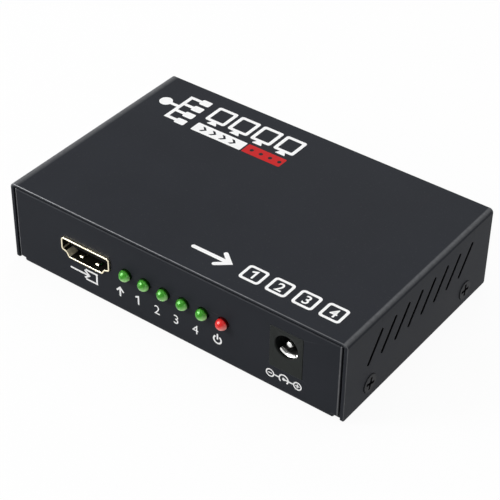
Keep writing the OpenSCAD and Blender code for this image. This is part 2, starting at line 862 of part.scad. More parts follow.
module jack_housing() {
    color("#2c2f2e")
    at_jack()
        difference() {
            union() {
                translate([-jack_w / 2, 0, -jack_lift])
                    cube([jack_w, jack_face_t, jack_h]);
                jack_round(jack_body_w, jack_face_t / 2, jack_len);
                translate([-jack_body_w / 2, jack_face_t / 2, -jack_lift])
                    cube([jack_body_w, jack_len - jack_face_t / 2, jack_lift]);
            }
            jack_round(jack_hole_d, -past, jack_lip + past);
            jack_round(jack_bore_d, jack_lip, jack_bore_len);
            jack_round(pin_root_d + 2 * snug, jack_bore_len - past, jack_len + past);
            translate([0, terminal_y + terminal_t / 2, -jack_lift - past])
                block([terminal_w + 2 * snug, terminal_t + 2 * snug, jack_lift + past - leaf_r]);
        }
}

module jack_pin() {
    color("#d6d7d8")
    at_jack() {
        jack_round(jack_pin_d, jack_pin_recess + pin_taper, jack_bore_len);
        jack_round(pin_root_d, jack_bore_len, jack_len + terminal_t);
        translate([0, jack_pin_recess, 0])
            rotate([-90, 0, 0])
                cylinder(d1 = jack_pin_d - 2 * pin_taper, d2 = jack_pin_d, h = pin_taper);
        translate([0, jack_len + terminal_t / 2, board_under - terminal_below - jack_z])
            block([pin_strip_w, terminal_t, jack_z - board_under + terminal_below]);
    }
}

// The sprung leaf follows the lower part of the hollow and is hinged at its rear end
module jack_leaf() {
    wedge = 3 * leaf_r;
    color("#e2e3e4")
    at_jack()
        along_y(leaf_front, leaf_rear)
            intersection() {
                difference() {
                    circle(leaf_r + leaf_t);
                    circle(leaf_r);
                }
                polygon([
                    [0, 0],
                    wedge * [-sin(leaf_arc), -cos(leaf_arc)],
                    [0, -2 * wedge],
                    wedge * [sin(leaf_arc), -cos(leaf_arc)]
                ]);
            }
}

module jack_leaf_terminal() {
    color("#d6d7d8")
    at_jack()
        translate([0, terminal_y + terminal_t / 2, board_under - terminal_below - jack_z])
            block([terminal_w, terminal_t, jack_z - leaf_r - snug - board_under + terminal_below]);
}

// A moulded chip body held just off the board
module chip_body(at, size) {
    translate([at[0], at[1], board_top + chip_up])
        block(size);
}

module splitter_chip() {
    color("#222326")
    chip_body(chip_at, chip_size);
}

module controller_chip() {
    color("#222326")
    chip_body(controller_at, controller_size);
}

module memory_chip() {
    color("#222326")
    chip_body(memory_at, memory_size);
}

module regulators() {
    color("#222326")
    for (x = regulator_xs)
        chip_body([x, regulator_y], regulator_size);
}

// Bent leads at the places xs on the +Y side of a chip body of size, centred at 0
module lead_row(size, xs, lead_w) {
    rise = chip_up + size[2] / 2;
    for (x = xs)
        translate([x - lead_w / 2, size[1] / 2, board_top])
            along_x(0, lead_w)
                polygon([
                    [0, rise], [gull_run, rise], [gull_run, gull_t], [2 * gull_run, gull_t],
                    [2 * gull_run, 0], [gull_run - gull_t, 0], [gull_run - gull_t, rise - gull_t],
                    [0, rise - gull_t]
                ]);
}

// Leads on the side of the chip at a place that the turn brings round to +Y
module lead_side(at, turn, size, count, corner, lead_w) {
    translate([at[0], at[1], 0])
        rotate(turn)
            lead_row(size, spread(count, size[0] - 2 * corner - lead_w), lead_w);
}

module chip_leads() {
    color("#c9cbce")
    {
        for (turn = [0, 90, 180, 270])
            lead_side(chip_at, turn, chip_size, chip_leads_per_side, chip_corner, chip_lead_w);
        for (turn = [0, 180]) {
            lead_side(controller_at, turn, controller_size,
                controller_leads, controller_corner, controller_lead_w);
            lead_side(memory_at, turn, memory_size,
                memory_leads, memory_corner, memory_lead_w);
        }
        for (x = regulator_xs) {
            lead_side([x, regulator_y], 0, regulator_size, 1, 0, regulator_tab_w);
            lead_side([x, regulator_y], 180, regulator_size,
                regulator_legs, regulator_leg_w, regulator_leg_w);
        }
    }
}

module thermal_pad() {
    color("#8f949b")
    translate([chip_at[0], chip_at[1], pad_z])
        block([chip_w, chip_w, pad_t]);
}

module heat_sink() {
    color("#2a2c30")
    translate([chip_at[0], chip_at[1], sink_z]) {
        block([sink_w, sink_w, sink_base_t]);
        for (x = spread(sink_fins, sink_w - sink_fin_t))
            translate([x, 0, 0])
                block([sink_fin_t, sink_w, sink_h]);
    }
}

module crystal() {
    color("#c4c6c8")
    translate([crystal_at[0], crystal_at[1], board_top]) {
        block([crystal_size[0], crystal_size[1] - crystal_size[0], crystal_size[2]]);
        for (end = [-1, 1])
            translate([0, end * (crystal_size[1] - crystal_size[0]) / 2, 0])
                cylinder(d = crystal_size[0], h = crystal_size[2]);
    }
}

module choke() {
    color("#3b3d40")
    translate([choke_at[0], choke_at[1], board_top]) {
        block([choke_w, choke_w, choke_foot_t]);
        cylinder(d = choke_w - 2 * choke_round, h = choke_h);
    }
}

module bulk_capacitors() {
    color("#9fa3a8")
    for (gap = bulk_from_lead)
        translate([bulk_x, lead_y + gap, board_top])
            cylinder(d = bulk_d, h = bulk_h);
}

// One small chip part that lies on the board
module small_part(at, size) {
    translate([at[0], at[1], board_top])
        block(size);
}

module ceramic_capacitors() {
    color("#b59a72")
    for (side = [-1, 1])
        for (y = spread(ceramic_rows, (ceramic_rows - 1) * ceramic_pitch))
            small_part(chip_at + [side * ceramic_x, y], small_size);
}

module resistors() {
    color("#26282b")
    {
        for (x = led_x)
            small_part([x, led_resistor_y], small_size);
        for (x = spread(pull_up_count, (pull_up_count - 1) * pull_up_pitch))
            small_part(controller_at + [x, pull_up_y], small_size);
    }
}

module surge_arrays() {
    color("#2e2f31")
    for (place = socket_places)
        at_socket(place)
            for (side = [-1, 1])
                translate([side * array_x, socket_base_y + array_y, -socket_lift])
                    block(array_size);
}

top_cover();
bottom_tray();
for (e = [0, 1])
    for (s = [0, 1])
        cover_screw(2 * s - 1, 2 * e - 1);
circuit_board();
board_standoffs();
board_screws();
socket_shell(socket_places[0]);  // input_shell
socket_insulator(socket_places[0]);  // input_insulator
socket_contacts(socket_places[0]);  // input_contacts
for (i = [1:output_count])
    socket_shell(socket_places[i]);
for (i = [1:output_count])
    socket_insulator(socket_places[i]);
for (i = [1:output_count])
    socket_contacts(socket_places[i]);
led(led_x[0], "#47a02d");  // led_input
for (i = [1:output_count])
    led(led_x[i], "#47a02d");
led(led_x[led_count - 1], "#eb3532");  // led_power
led_leads();
jack_housing();
jack_pin();
jack_leaf();
jack_leaf_terminal();
splitter_chip();
controller_chip();
memory_chip();
regulators();
chip_leads();
thermal_pad();
heat_sink();
crystal();
choke();
bulk_capacitors();
ceramic_capacitors();
resistors();
surge_arrays();
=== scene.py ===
"""Looks of a small video splitter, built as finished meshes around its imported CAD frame."""

import math

import bmesh
import bpy
from bpy.props import FloatProperty, FloatVectorProperty, IntProperty, PointerProperty
from mathutils import Euler, Matrix, Vector
from mathutils.geometry import delaunay_2d_cdt


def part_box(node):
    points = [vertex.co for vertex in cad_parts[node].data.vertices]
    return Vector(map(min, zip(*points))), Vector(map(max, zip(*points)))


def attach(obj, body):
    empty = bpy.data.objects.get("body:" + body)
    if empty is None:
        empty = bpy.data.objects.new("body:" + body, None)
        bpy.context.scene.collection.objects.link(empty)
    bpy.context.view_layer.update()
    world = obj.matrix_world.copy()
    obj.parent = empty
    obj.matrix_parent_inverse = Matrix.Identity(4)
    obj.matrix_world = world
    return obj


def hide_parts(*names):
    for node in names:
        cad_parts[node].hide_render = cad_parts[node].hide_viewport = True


bl_info = {
    "name": "Video splitter looks",
    "version": (1, 0, 0),
    "blender": (4, 5, 0),
    "location": "View3D > Sidebar > Splitter",
    "description": "Builds the case, sockets, lamps, jack, screws and prints of a small video splitter",
    "category": "Object",
}

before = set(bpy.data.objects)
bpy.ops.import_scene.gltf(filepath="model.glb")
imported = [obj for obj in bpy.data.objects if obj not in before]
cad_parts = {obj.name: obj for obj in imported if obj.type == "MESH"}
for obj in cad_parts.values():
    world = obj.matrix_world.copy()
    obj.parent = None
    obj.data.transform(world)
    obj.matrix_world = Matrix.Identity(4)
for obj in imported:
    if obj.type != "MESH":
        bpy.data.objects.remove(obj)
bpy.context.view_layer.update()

# Meshes are worked out in millimetres and scaled to metres when a piece is made
MM = 0.001
CASE_BODY = "case"
LEAF_BODY = "leaf"
OUTPUTS = (1, 2, 3, 4)
SOCKETS = ("input",) + tuple("output_%d" % i for i in OUTPUTS)
LAMPS = SOCKETS + ("power",)
SCREWS = tuple("cover_screw_%s_%s" % (end, side) for end in ("front", "rear") for side in ("left", "right"))
# The four quarters of the case, as the signs of X and Y
QUARTERS = ((-1, -1), (-1, 1), (1, -1), (1, 1))
# A socket's opening: half of its width, its reach up and down, and the shell's top over its middle
OPENING_HALF, OPENING_UP, SHELL_TOP = 7.0, 2.275, 2.675
# Depth below the outer face that still counts as a hole's rounded edge; below it a hole's wall can get a
# near-black painted shade
HOLE_LIP = 0.03
# Colour of dust specks, and the setting of all bare metals
DUST = (0.4, 0.4, 0.39)
METAL = {"metallic": 1.0}


def mm_box(node):
    """Lowest and highest corner of a CAD node, in millimetres."""
    low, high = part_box(node)
    return low / MM, high / MM


def mm_middle(node):
    """Middle of a CAD node, in millimetres."""
    low, high = mm_box(node)
    return (low + high) / 2


def node_of(kind, which):
    """Name of the CAD node of one kind of piece on one socket: input_shell, output_shell_1 and so on."""
    if which == "input":
        return "input_" + kind
    return "output_%s_%s" % (kind, which.split("_")[1])

def socket_middle(which):
    """Middle of a socket's opening in X and Z."""
    shell = node_of("shell", which)
    return mm_middle(shell).x, mm_box(shell)[1].z - SHELL_TOP


def lamp_middle(which):
    """Middle of a lamp in X and Z; its rim is round but for a flat on its right side."""
    low, high = mm_box("led_" + which)
    return low.x + (high.z - low.z) / 2, (low.z + high.z) / 2


COVER_LOW, COVER_HIGH = mm_box("top_cover")
TRAY_LOW, TRAY_HIGH = mm_box("bottom_tray")
JACK_LOW, JACK_HIGH = mm_box("jack_housing")


# Sizes and colours that a user would change


def length(name, description, millimetres):
    """A size, given in millimetres and kept in metres."""
    return FloatProperty(
        name=name, description=description, default=millimetres * MM, unit="LENGTH", precision=5)


def angle(name, description, degrees):
    """An angle, given in degrees and kept in radians."""
    return FloatProperty(name=name, description=description, default=math.radians(degrees), subtype="ANGLE")


def colour(name, description, value):
    """A colour with its red, green and blue from 0 to 1."""
    return FloatVectorProperty(
        name=name, description=description, default=value, size=3, subtype="COLOR", min=0.0, max=1.0)


def power(name, description, watts):
    """The power of a lamp."""
    return FloatProperty(name=name, description=description, default=watts, unit="POWER", min=0.0)


class SplitterCase(bpy.types.PropertyGroup):
    """Folded sheets of the cover and the tray"""

    sheet: length("Sheet", "Sheet thickness", 0.9)
    fold: length("Fold", "Inside radius of the folds", 0.2)
    cover_edge: length("Cover edge", "Rounding of the cover's outer edges", 0.2)
    panel_edge: length("Panel edge", "Rounding of the tray's edges", 0.28)
    panel_half: length("Panel half width", "Half of the width of the front and rear panels", 46.6)
    notch_w: length("Notch width", "Width of the notches at the panels' lower corners", 1.5)
    notch_h: length("Notch height", "Height of the notches at the panels' lower corners", 1.3)
    vent_w: length("Vent width", "Width of a vent slot", 1.05)
    vent_rise: length("Vent rise", "Rise of a vent slot between its end centres", 6.6)
    vent_pitch: length("Vent pitch", "Distance between vent slots", 5.45)
    vent_z: length("Vent height", "Height of the middle of the slots", 14.3)
    vent_lean: angle("Vent lean", "Lean of the slots towards the rear", 36)
    vent_count: IntProperty(name="Vents", description="Slots in each side wall", default=8, min=1, max=12)
    paint: colour("Paint", "Colour of the paint", (0.022, 0.0239, 0.0289))
    # The edge colour below is lighter paint for worn edges and for painted highlights along the cover's front
    # edge and folds and the panels' edges
    rubbed: colour("Rubbed edge", "Colour of the paint along rubbed edges", (0.34, 0.344, 0.352))


class SplitterSockets(bpy.types.PropertyGroup):
    """Video sockets"""

    shell: length("Shell", "Thickness of the shell", 0.36)
    depth: length("Depth", "Length of the shell", 11.5)
    finger_w: length("Finger width", "Width of a spring finger", 0.9)
    finger_x: length("Finger place", "Distance of a finger from the middle", 2.45)
    finger_dip: length("Finger dip", "How far a finger dips into the opening", 0.45)
    plating: colour("Plating", "Colour of the shell's plating", (0.94, 0.86, 0.64))
    insulator: colour("Insulator", "Colour of the tongue and its block", (0.006, 0.006, 0.0065))


class SplitterLamps(bpy.types.PropertyGroup):
    """Status lamps"""

    width: length("Diameter", "Diameter of a lamp", 3.0)
    green: colour("Green", "Colour of the signal lamps", (0.045, 0.31, 0.015))
    # The green glow colour is painted light on the lower right side of a signal lamp
    green_glow: colour("Green glow", "Colour of the light gathered in a signal lamp", (0.44, 0.82, 0.32))
    red: colour("Red", "Colour of the power lamp", (0.8, 0.022, 0.02))
    # The red glow colour is painted light on the lower right side of the power lamp
    red_glow: colour("Red glow", "Colour of the light gathered in the power lamp", (0.97, 0.36, 0.32))


class SplitterJack(bpy.types.PropertyGroup):
    """Power jack"""

    hole: length("Hole", "Diameter of the hole in the face", 6.2)
    bore: length("Bore", "Diameter of the hollow behind the face", 7.0)
    lip: length("Lip", "Thickness of the lip around the hole", 0.6)
    plastic: colour("Plastic", "Colour of the moulding", (0.0215, 0.024, 0.0228))
    metal: colour("Metal", "Colour of the pin and the leaf", (0.84, 0.84, 0.82))


class SplitterScrews(bpy.types.PropertyGroup):
    """Cover screws"""

    head: length("Head", "Diameter of the countersunk head", 4.7)
    thread: length("Thread", "Thread diameter", 2.5)
    pitch: length("Pitch", "Thread pitch", 0.45)
    recess: length("Recess", "Span of the cross recess", 3.2)
    steel: colour("Steel", "Colour of the blackened steel", (0.0205, 0.0215, 0.0245))


class SplitterPrints(bpy.types.PropertyGroup):
    """Printed symbols"""

    film: length("Film", "Thickness of the ink", 0.02)
    white: colour("White ink", "Colour of the white ink", (0.93, 0.93, 0.93))
    red: colour("Red ink", "Colour of the red ink", (0.52, 0.008, 0.009))


class SplitterInside(bpy.types.PropertyGroup):
    """Board and the pieces on it"""

    edge: length("Edge", "Rounding of the inner pieces' edges", 0.06)
    board_mask: colour("Solder mask", "Colour of the board", (0.012, 0.085, 0.03))
    copper: colour("Track", "Colour of the tracks under the mask", (0.03, 0.19, 0.06))


class SplitterStage(bpy.types.PropertyGroup):
    """Floor, lights and camera"""

    lens: FloatProperty(
        name="Lens", description="Focal length of the camera", default=115.485, unit="CAMERA", min=1.0)
    eye: FloatVectorProperty(
        name="Camera", description="Place of the camera", default=(0.178657, -0.2462, 0.243593),
        size=3, subtype="XYZ", unit="LENGTH")
    aim: FloatVectorProperty(
        name="Camera turn", description="Rotation of the camera",
        default=(math.radians(52.03), math.radians(-0.8376), math.radians(36.589)), size=3, subtype="EULER")
    ambient: FloatProperty(name="Ambient", description="Light of the surroundings", default=0.35, min=0.0)
    overhead: power("Overhead", "Power of the overhead lamp", 3.7)
    front: power("Front", "Power of the lamp at the front left", 3.5)
    rear: power("Rear", "Power of the lamp at the rear", 1.0)
    glint: power("Glint", "Power of the softboxes seen in reflections", 15.0)
    floor: colour("Floor", "Colour of the floor", (0.9, 0.9, 0.9))


class SplitterLook(bpy.types.PropertyGroup):
    """All sizes and colours of the splitter's looks"""

    case: PointerProperty(type=SplitterCase)
    sockets: PointerProperty(type=SplitterSockets)
    lamps: PointerProperty(type=SplitterLamps)
    jack: PointerProperty(type=SplitterJack)
    screws: PointerProperty(type=SplitterScrews)
    prints: PointerProperty(type=SplitterPrints)
    inside: PointerProperty(type=SplitterInside)
    stage: PointerProperty(type=SplitterStage)


# Flat outlines, in millimetres


def oriented(loop, anticlockwise):
    """The loop as vectors, running anticlockwise or clockwise."""
    points = [Vector(p) for p in loop]
    area = sum(a.cross(b) for a, b in zip(points, points[1:] + points[:1]))
    return points if (area > 0) == anticlockwise else points[::-1]


def mitres(points, closed):
    """For each point of a path, the shift that moves the edges on both of its sides to their left by 1."""
    ways = [(b - a).normalized() for a, b in zip(points, points[1:] + points[:1])]
    if closed:
        pairs = zip(ways[-1:] + ways, ways)
    else:
        pairs = zip(ways[:1] + ways[:-1], ways[:-1] + ways[-2:-1])
    return [Vector((-a.y - b.y, a.x + b.x)) / max(1 + a.dot(b), 0.2) for a, b in pairs]


def moved_left(loop, distance):
    """The loop with each edge moved to its left, with mitred corners."""
    return [point + shift * distance for point, shift in zip(loop, mitres(loop, True))]


def circle(x, y, radius, steps=48):
    """A circle about a place."""
    turn = 2 * math.pi / steps
    return [(x + radius * math.cos(i * turn), y + radius * math.sin(i * turn)) for i in range(steps)]


def open_ring(x, y, radius, start, end, steps=24):
    """Points along part of a circle, from one angle to another, in degrees from +Y towards +X."""
    turns = [math.radians(start + (end - start) * i / steps) for i in range(steps + 1)]
    return [(x + radius * math.sin(t), y + radius * math.cos(t)) for t in turns]


def stadium(x, y, reach, width, lean, steps=10):
    """A slot with round ends, whose end centres lie reach apart, leaning from +Y towards +X."""
    along = Vector((math.sin(lean), math.cos(lean)))
    across = Vector((along.y, -along.x))
    loop = []
    for way in (1, -1):
        middle = Vector((x, y)) + along * (way * reach / 2)
        for i in range(steps + 1):
            turn = math.pi * i / steps
            loop.append(middle + (across * math.cos(turn) + along * math.sin(turn)) * (way * width / 2))
    return loop


def rounded(points, radii, steps=6):
    """A polygon with each corner rounded by its own radius."""
    points = [Vector(p) for p in points]
    loop = []
    for i, point in enumerate(points):
        u = (points[i - 1] - point).normalized()
        v = (points[(i + 1) % len(points)] - point).normalized()
        radius = radii[i] if hasattr(radii, "__len__") else radii
        half = u.angle(v) / 2
        middle = point + (u + v).normalized() * radius / math.sin(half)
        start = point + u * radius / math.tan(half) - middle
        end = point + v * radius / math.tan(half) - middle
        sweep = math.atan2(start.cross(end), start.dot(end))
        for k in range(steps + 1):
            turn = sweep * k / steps
            loop.append(middle + Matrix.Rotation(turn, 2) @ start)
    return loop


def rectangle(x0, y0, x1, y1, radius=0.0):
    """A rectangle between two corners, rounded where a radius is given."""
    corners = [(x0, y0), (x1, y0), (x1, y1), (x0, y1)]
    return rounded(corners, radius) if radius else corners


def stroke(points, width, steps=8):
    """Outline of a pen stroke along open points, with round ends and mitred bends."""
    points = [Vector(p) for p in points]
    shifts = [shift * width / 2 for shift in mitres(points, False)]
    left = [point + shift for point, shift in zip(points, shifts)]
    right = [point - shift for point, shift in zip(points, shifts)]

    def cap(middle, start):
        turns = [-math.pi * k / steps for k in range(1, steps)]
        return [middle + Matrix.Rotation(turn, 2) @ (start - middle) for turn in turns]

    return left + cap(points[-1], left[-1]) + right[::-1] + cap(points[0], right[0])


def socket_outline(grow, steps=5):
    """Outline of a socket's opening, moved out by grow, in X and Z about its middle."""
    right = [(4.95, -OPENING_UP), (5.65, -1.075), (OPENING_HALF, -0.625), (OPENING_HALF, OPENING_UP)]
    radii = [r + grow * way for r, way in zip((0.4, 0.9, 0.3, 0.5), (1, -1, 1, 1))]
    corners = [Vector(p) for p in right + [(-x, z) for x, z in right[::-1]]]
    return rounded(moved_left(corners, -grow), radii + radii[::-1], steps)


# Meshes, in millimetres


def edge_profile(thickness, lower, upper, steps=3):
    """Inset and height along a sheet's edge from its lower face to its upper face, rounded at both."""

    def quarter(radius):
        if not radius:
            return [(0.0, 0.0)]
        turns = [math.pi / 2 * i / steps for i in range(steps + 1)]
        return [(radius * (1 - math.sin(t)), radius * (1 - math.cos(t))) for t in turns]

    return quarter(lower) + [(i, thickness - h) for i, h in reversed(quarter(upper))]


def inside_loops(point, edges):
    """True where the point lies in an odd number of the loops that the edges make."""
    x, y = point
    inside = False
    for a, b in edges:
        if (a.y > y) != (b.y > y) and x < a.x + (b.x - a.x) * (y - a.y) / (b.y - a.y):
            inside = not inside
    return inside


def neighbours(loops):
    """Pairs of neighbouring points of loops whose points are numbered through."""
    pairs = []
    for loop in loops:
        first = len(pairs)
        pairs += [(first + i, first + (i + 1) % len(loop)) for i in range(len(loop))]
    return pairs


def fill(bm, loops, upward):
    """Fills the space between an outer loop of vertices and its holes with triangles."""
    verts = [v for loop in loops for v in loop]
    pairs = neighbours(loops)
    flat = [v.co.xy for v in verts]
    edges = [(flat[a], flat[b]) for a, b in pairs]
    points, _, faces, origins, _, _ = delaunay_2d_cdt(flat, pairs, [], 0, 1e-7, True)
    for face in faces:
        middle = sum((points[i] for i in face), Vector((0, 0))) / len(face)
        if inside_loops(middle, edges):
            corners = [verts[origins[i][0]] for i in face]
            bm.faces.new(corners if upward else corners[::-1])


def clamped(value):
    """The value, but at least 0 and at most 1."""
    return min(max(value, 0.0), 1.0)


def rubbed_share(inset, width):
    """How much lighter paint goes at an inset from an edge, worn paint and a painted highlight: most on the
    rounding, none past a width.
    """
    return math.sin(math.pi * inset / width) if 0 < inset < width else 0.0


def join_rings(bm, low, high):
    """Adds the faces between two closed rings of vertices and gives them back."""
    nexts = [(i + 1) % len(low) for i in range(len(low))]
    return [bm.faces.new((low[i], low[k], high[k], high[i])) for i, k in enumerate(nexts)]


def close_stack(bm, rows):
    """Adds the walls of a stack of rings and the faces over its two ends."""
    for low, high in zip(rows, rows[1:]):
        join_rings(bm, low, high)
    bm.faces.new(rows[0][::-1])
    bm.faces.new(rows[-1])


def add_sheet(bm, outer, profile, holes=(), wall=0, rubbed=0.0):
    """Adds a sheet on z = 0; a profile says how an edge runs from the lower to the upper face.

    Each hole is an outline and its profile. wall is the material index of the holes' walls below their outer
    rounding, which carry a painted shade. The last argument says how much lighter paint goes on the rounding
    of the outer edge: worn paint and a painted highlight.
    """
    rub_and_highlight_layer = bm.verts.layers.float.get("rubbed") or bm.verts.layers.float.new("rubbed")
    borders = [(oriented(outer, True), profile)] + [(oriented(hole, False), edge) for hole, edge in holes]
    stacks = []
    for number, (loop, edge) in enumerate(borders):
        last_inset, thickness = edge[-1]
        rings = []
        for inset, height in edge:
            ring = moved_left(loop, inset) if inset else loop
            rings.append([bm.verts.new((p.x, p.y, height)) for p in ring])
            if not number and height > thickness / 2:
                for v in rings[-1]:
                    v[rub_and_highlight_layer] = rubbed * rubbed_share(inset, last_inset)
        for low, high in zip(rings, rings[1:]):
            deep = number and high[0].co.z < thickness - HOLE_LIP
            for face in join_rings(bm, low, high):
                face.material_index = wall if deep else 0
        stacks.append(rings)
    fill(bm, [rings[0] for rings in stacks], False)
    fill(bm, [rings[-1] for rings in stacks], True)


def crease(bm, axis, places):
    """Cuts the mesh across at places along an axis, so that it can bend there."""
    for place in places:
        everything = bm.verts[:] + bm.edges[:] + bm.faces[:]
        bmesh.ops.bisect_plane(bm, geom=everything, dist=1e-5, plane_co=axis * place, plane_no=axis)


def curled(reach, flat, fold, middle, depth):
    """Where a point of a folded sheet lies: its distance out, and its height over the centre of the fold.

    reach is its distance along the flat sheet, flat is where the fold starts, fold and middle are the radii
    of the sheet's inside and middle, and depth is how far the point lies from the inside.
    """
    turn = (reach - flat) / middle
    past = max(turn - math.pi / 2, 0.0) * middle
    turn = min(turn, math.pi / 2)
    return flat + (fold + depth) * math.sin(turn), (fold + depth) * math.cos(turn) - past


def bend(bm, where, rubbed=None):
    """Moves each vertex to where a function puts it; another one says how much lighter paint goes there, worn
    paint and a painted highlight.
    """
    rub_and_highlight_layer = bm.verts.layers.float.get("rubbed")
    for v in bm.verts:
        if rubbed:
            v[rub_and_highlight_layer] = max(v[rub_and_highlight_layer], rubbed(v.co))
        v.co = where(v.co)


def to_mesh(bm, name):
    """A mesh made of an edit mesh, which is freed."""
    mesh = bpy.data.meshes.new(name)
    bm.to_mesh(mesh)
    bm.free()
    return mesh


def placed_copy(mesh, place):
    """An edit mesh with a copy of a mesh, moved by a matrix."""
    bm = bmesh.new()
    bm.from_mesh(mesh)
    bmesh.ops.transform(bm, matrix=place, verts=bm.verts)
    return bm


def add_placed(bm, part, place):
    """Adds a mesh made on its own, moved by a matrix."""
    bmesh.ops.transform(part, matrix=place, verts=part.verts)
    mesh = to_mesh(part, "part")
    bm.from_mesh(mesh)
    bpy.data.meshes.remove(mesh)


def add_plate(bm, place, outer, profile, holes=()):
    """Adds a sheet drawn in X and Y and moved by a matrix."""
    part = bmesh.new()
    add_sheet(part, outer, profile, holes)
    add_placed(bm, part, place)


def add_block(bm, low, high, edge):
    """Adds a box with rounded edges."""
    part = bmesh.new()
    bmesh.ops.create_cube(part, size=1.0)
    size = [h - l for l, h in zip(low, high)]
    middle = [(h + l) / 2 for l, h in zip(low, high)]
    bmesh.ops.scale(part, vec=size, verts=part.verts)
    bmesh.ops.bevel(part, geom=part.edges[:], offset=edge, segments=2, profile=0.5, affect="EDGES")
    add_placed(bm, part, Matrix.Translation(middle))


def add_turned(bm, rings, place, steps=48):
    """Adds a turned solid about Z; each ring is a radius, or a function of the turn, and a height."""
    part = bmesh.new()
    rows = []
    for radius, height in rings:
        row = []
        for i in range(steps):
            turn = 2 * math.pi * i / steps
            r = radius(turn) if callable(radius) else radius
            row.append(part.verts.new((r * math.cos(turn), r * math.sin(turn), height)))
        rows.append(row)
    close_stack(part, rows)
    add_placed(bm, part, place)


def add_ring(bm, section, place, steps=40):
    """Adds a ring: a closed section of radius and height turned about Z."""
    part = bmesh.new()
    rows = []
    for i in range(steps):
        turn = 2 * math.pi * i / steps
        rows.append([part.verts.new((r * math.cos(turn), r * math.sin(turn), z)) for r, z in section])
    for row, after in zip(rows, rows[1:] + rows[:1]):
        join_rings(part, after, row)
    add_placed(bm, part, place)


def along(axis, x, y, z):
    """A matrix that puts the Z axis of a part along an axis of the case, at a place."""
    way, about = {"+X": (1, "Y"), "-X": (-1, "Y"), "+Y": (-1, "X"), "-Y": (1, "X")}[axis]
    return Matrix.Translation((x, y, z)) @ Matrix.Rotation(way * math.pi / 2, 4, about)


def finished(look, name, bm, finishes, body=CASE_BODY, replaced=(), sharp=38):
    """Makes a piece of the mesh: scaled to metres, smoothed, finished, riding on its body."""
    bmesh.ops.remove_doubles(bm, verts=bm.verts, dist=1e-5)
    bmesh.ops.recalc_face_normals(bm, faces=bm.faces)
    bmesh.ops.scale(bm, vec=(MM, MM, MM), verts=bm.verts)
    mesh = to_mesh(bm, name)
    for label in finishes:
        mesh.materials.append(finish(look, label))
    mesh.shade_smooth()
    mesh.set_sharp_from_angle(angle=math.radians(sharp))
    piece = bpy.data.objects.new(name, mesh)
    bpy.context.scene.collection.objects.link(piece)
    weigh = piece.modifiers.new("flat faces", "WEIGHTED_NORMAL")
    weigh.keep_sharp = True
    weigh.weight = 80
    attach(piece, body)
    if replaced:
        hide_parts(*replaced)


def dress(look, node, label, edge):
    """Gives a CAD node that stays its finish and softly rounded edges."""
    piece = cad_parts[node]
    for slot in piece.material_slots:
        slot.material = finish(look, label)
    weld = piece.modifiers.new("joined faces", "WELD")
    weld.merge_threshold = 0.002 * MM
    soften = piece.modifiers.new("soft edges", "BEVEL")
    soften.width = edge * MM
    soften.segments = 2
    soften.limit_method = "ANGLE"
    soften.angle_limit = math.radians(40)
    weigh = piece.modifiers.new("flat faces", "WEIGHTED_NORMAL")
    weigh.weight = 80

# Materials


def feed(tree, socket, value):
    """Gives a socket its value, or links it where the value is another socket."""
    if hasattr(value, "is_linked"):
        tree.links.new(value, socket)
    else:
        socket.default_value = value


def node_group(name, inputs, build):
    """The shader node group of that name, built the first time; build gives the sockets of its outputs."""
    found = bpy.data.node_groups.get(name)
    if found:
        return found
    group = bpy.data.node_groups.new(name, "ShaderNodeTree")
    for label, value in inputs.items():
        socket = group.interface.new_socket(name=label, in_out="INPUT", socket_type="NodeSocketFloat")
        socket.default_value = value
    results = build(group, group.nodes.new("NodeGroupInput").outputs)
    for label in results:
        group.interface.new_socket(name=label, in_out="OUTPUT", socket_type="NodeSocketFloat")
    made = group.nodes.new("NodeGroupOutput")
    for label, value in results.items():
        group.links.new(value, made.inputs[label])
    return group


def placed_group(tree, group, values):
    """Places a node group in a material with its own values, and gives back its outputs."""
    node = tree.nodes.new("ShaderNodeGroup")
    node.node_tree = group
    for label, value in values.items():
        node.inputs[label].default_value = value
    return node.outputs


def noise(tree, scale, detail=2.0, rough=0.5):
    """A noise texture in part coordinates."""
    where = tree.nodes.new("ShaderNodeTexCoord")
    node = tree.nodes.new("ShaderNodeTexNoise")
    node.inputs["Detail"].default_value = detail
    node.inputs["Roughness"].default_value = rough
    tree.links.new(where.outputs["Object"], node.inputs["Vector"])
    feed(tree, node.inputs["Scale"], scale)
    return node.outputs["Fac"]


def maths(tree, operation, first, second, clamp=False):
    """One Math node; the operands are numbers or sockets."""
    node = tree.nodes.new("ShaderNodeMath")
    node.operation = operation
    node.use_clamp = clamp
    feed(tree, node.inputs[0], first)
    feed(tree, node.inputs[1], second)
    return node.outputs[0]


def agreement(tree, first, second):
    """How far two directions agree; each is a vector or a socket."""
    node = tree.nodes.new("ShaderNodeVectorMath")
    node.operation = "DOT_PRODUCT"
    feed(tree, node.inputs[0], first)
    feed(tree, node.inputs[1], second)
    return node.outputs["Value"]


def spread(tree, value, low, high, to_low, to_high):
    """Maps a value from one range to another, clamped."""
    node = tree.nodes.new("ShaderNodeMapRange")
    tree.links.new(value, node.inputs["Value"])
    for label, number in zip(("From Min", "From Max", "To Min", "To Max"), (low, high, to_low, to_high)):
        node.inputs[label].default_value = number
    return node.outputs["Result"]


def blended(tree, mask, first, second):
    """A colour that goes from one to another where the mask says; each is a colour or a socket."""
    node = tree.nodes.new("ShaderNodeMix")
    node.data_type = "RGBA"
    tree.links.new(mask, node.inputs["Factor"])
    for label, value in (("A", first), ("B", second)):
        socket = next(s for s in node.inputs if s.name == label and s.type == "RGBA")
        feed(tree, socket, value if hasattr(value, "is_linked") else (*value, 1.0))
    return next(s for s in node.outputs if s.type == "RGBA")


def held_value(tree, name):
    """A value that the mesh holds at its vertices."""
    node = tree.nodes.new("ShaderNodeAttribute")
    node.attribute_name = name
    return node.outputs["Fac"]


def surface_grain():
    """Group: fine grain and broad cloudiness of a surface."""

    def build(group, given):
        return {"Fine": noise(group, given["Fine scale"], 3.0, 0.62),
                "Broad": noise(group, given["Broad scale"], 4.0, 0.55)}

    return node_group("Surface grain", {"Fine scale": 4000.0, "Broad scale": 60.0}, build)


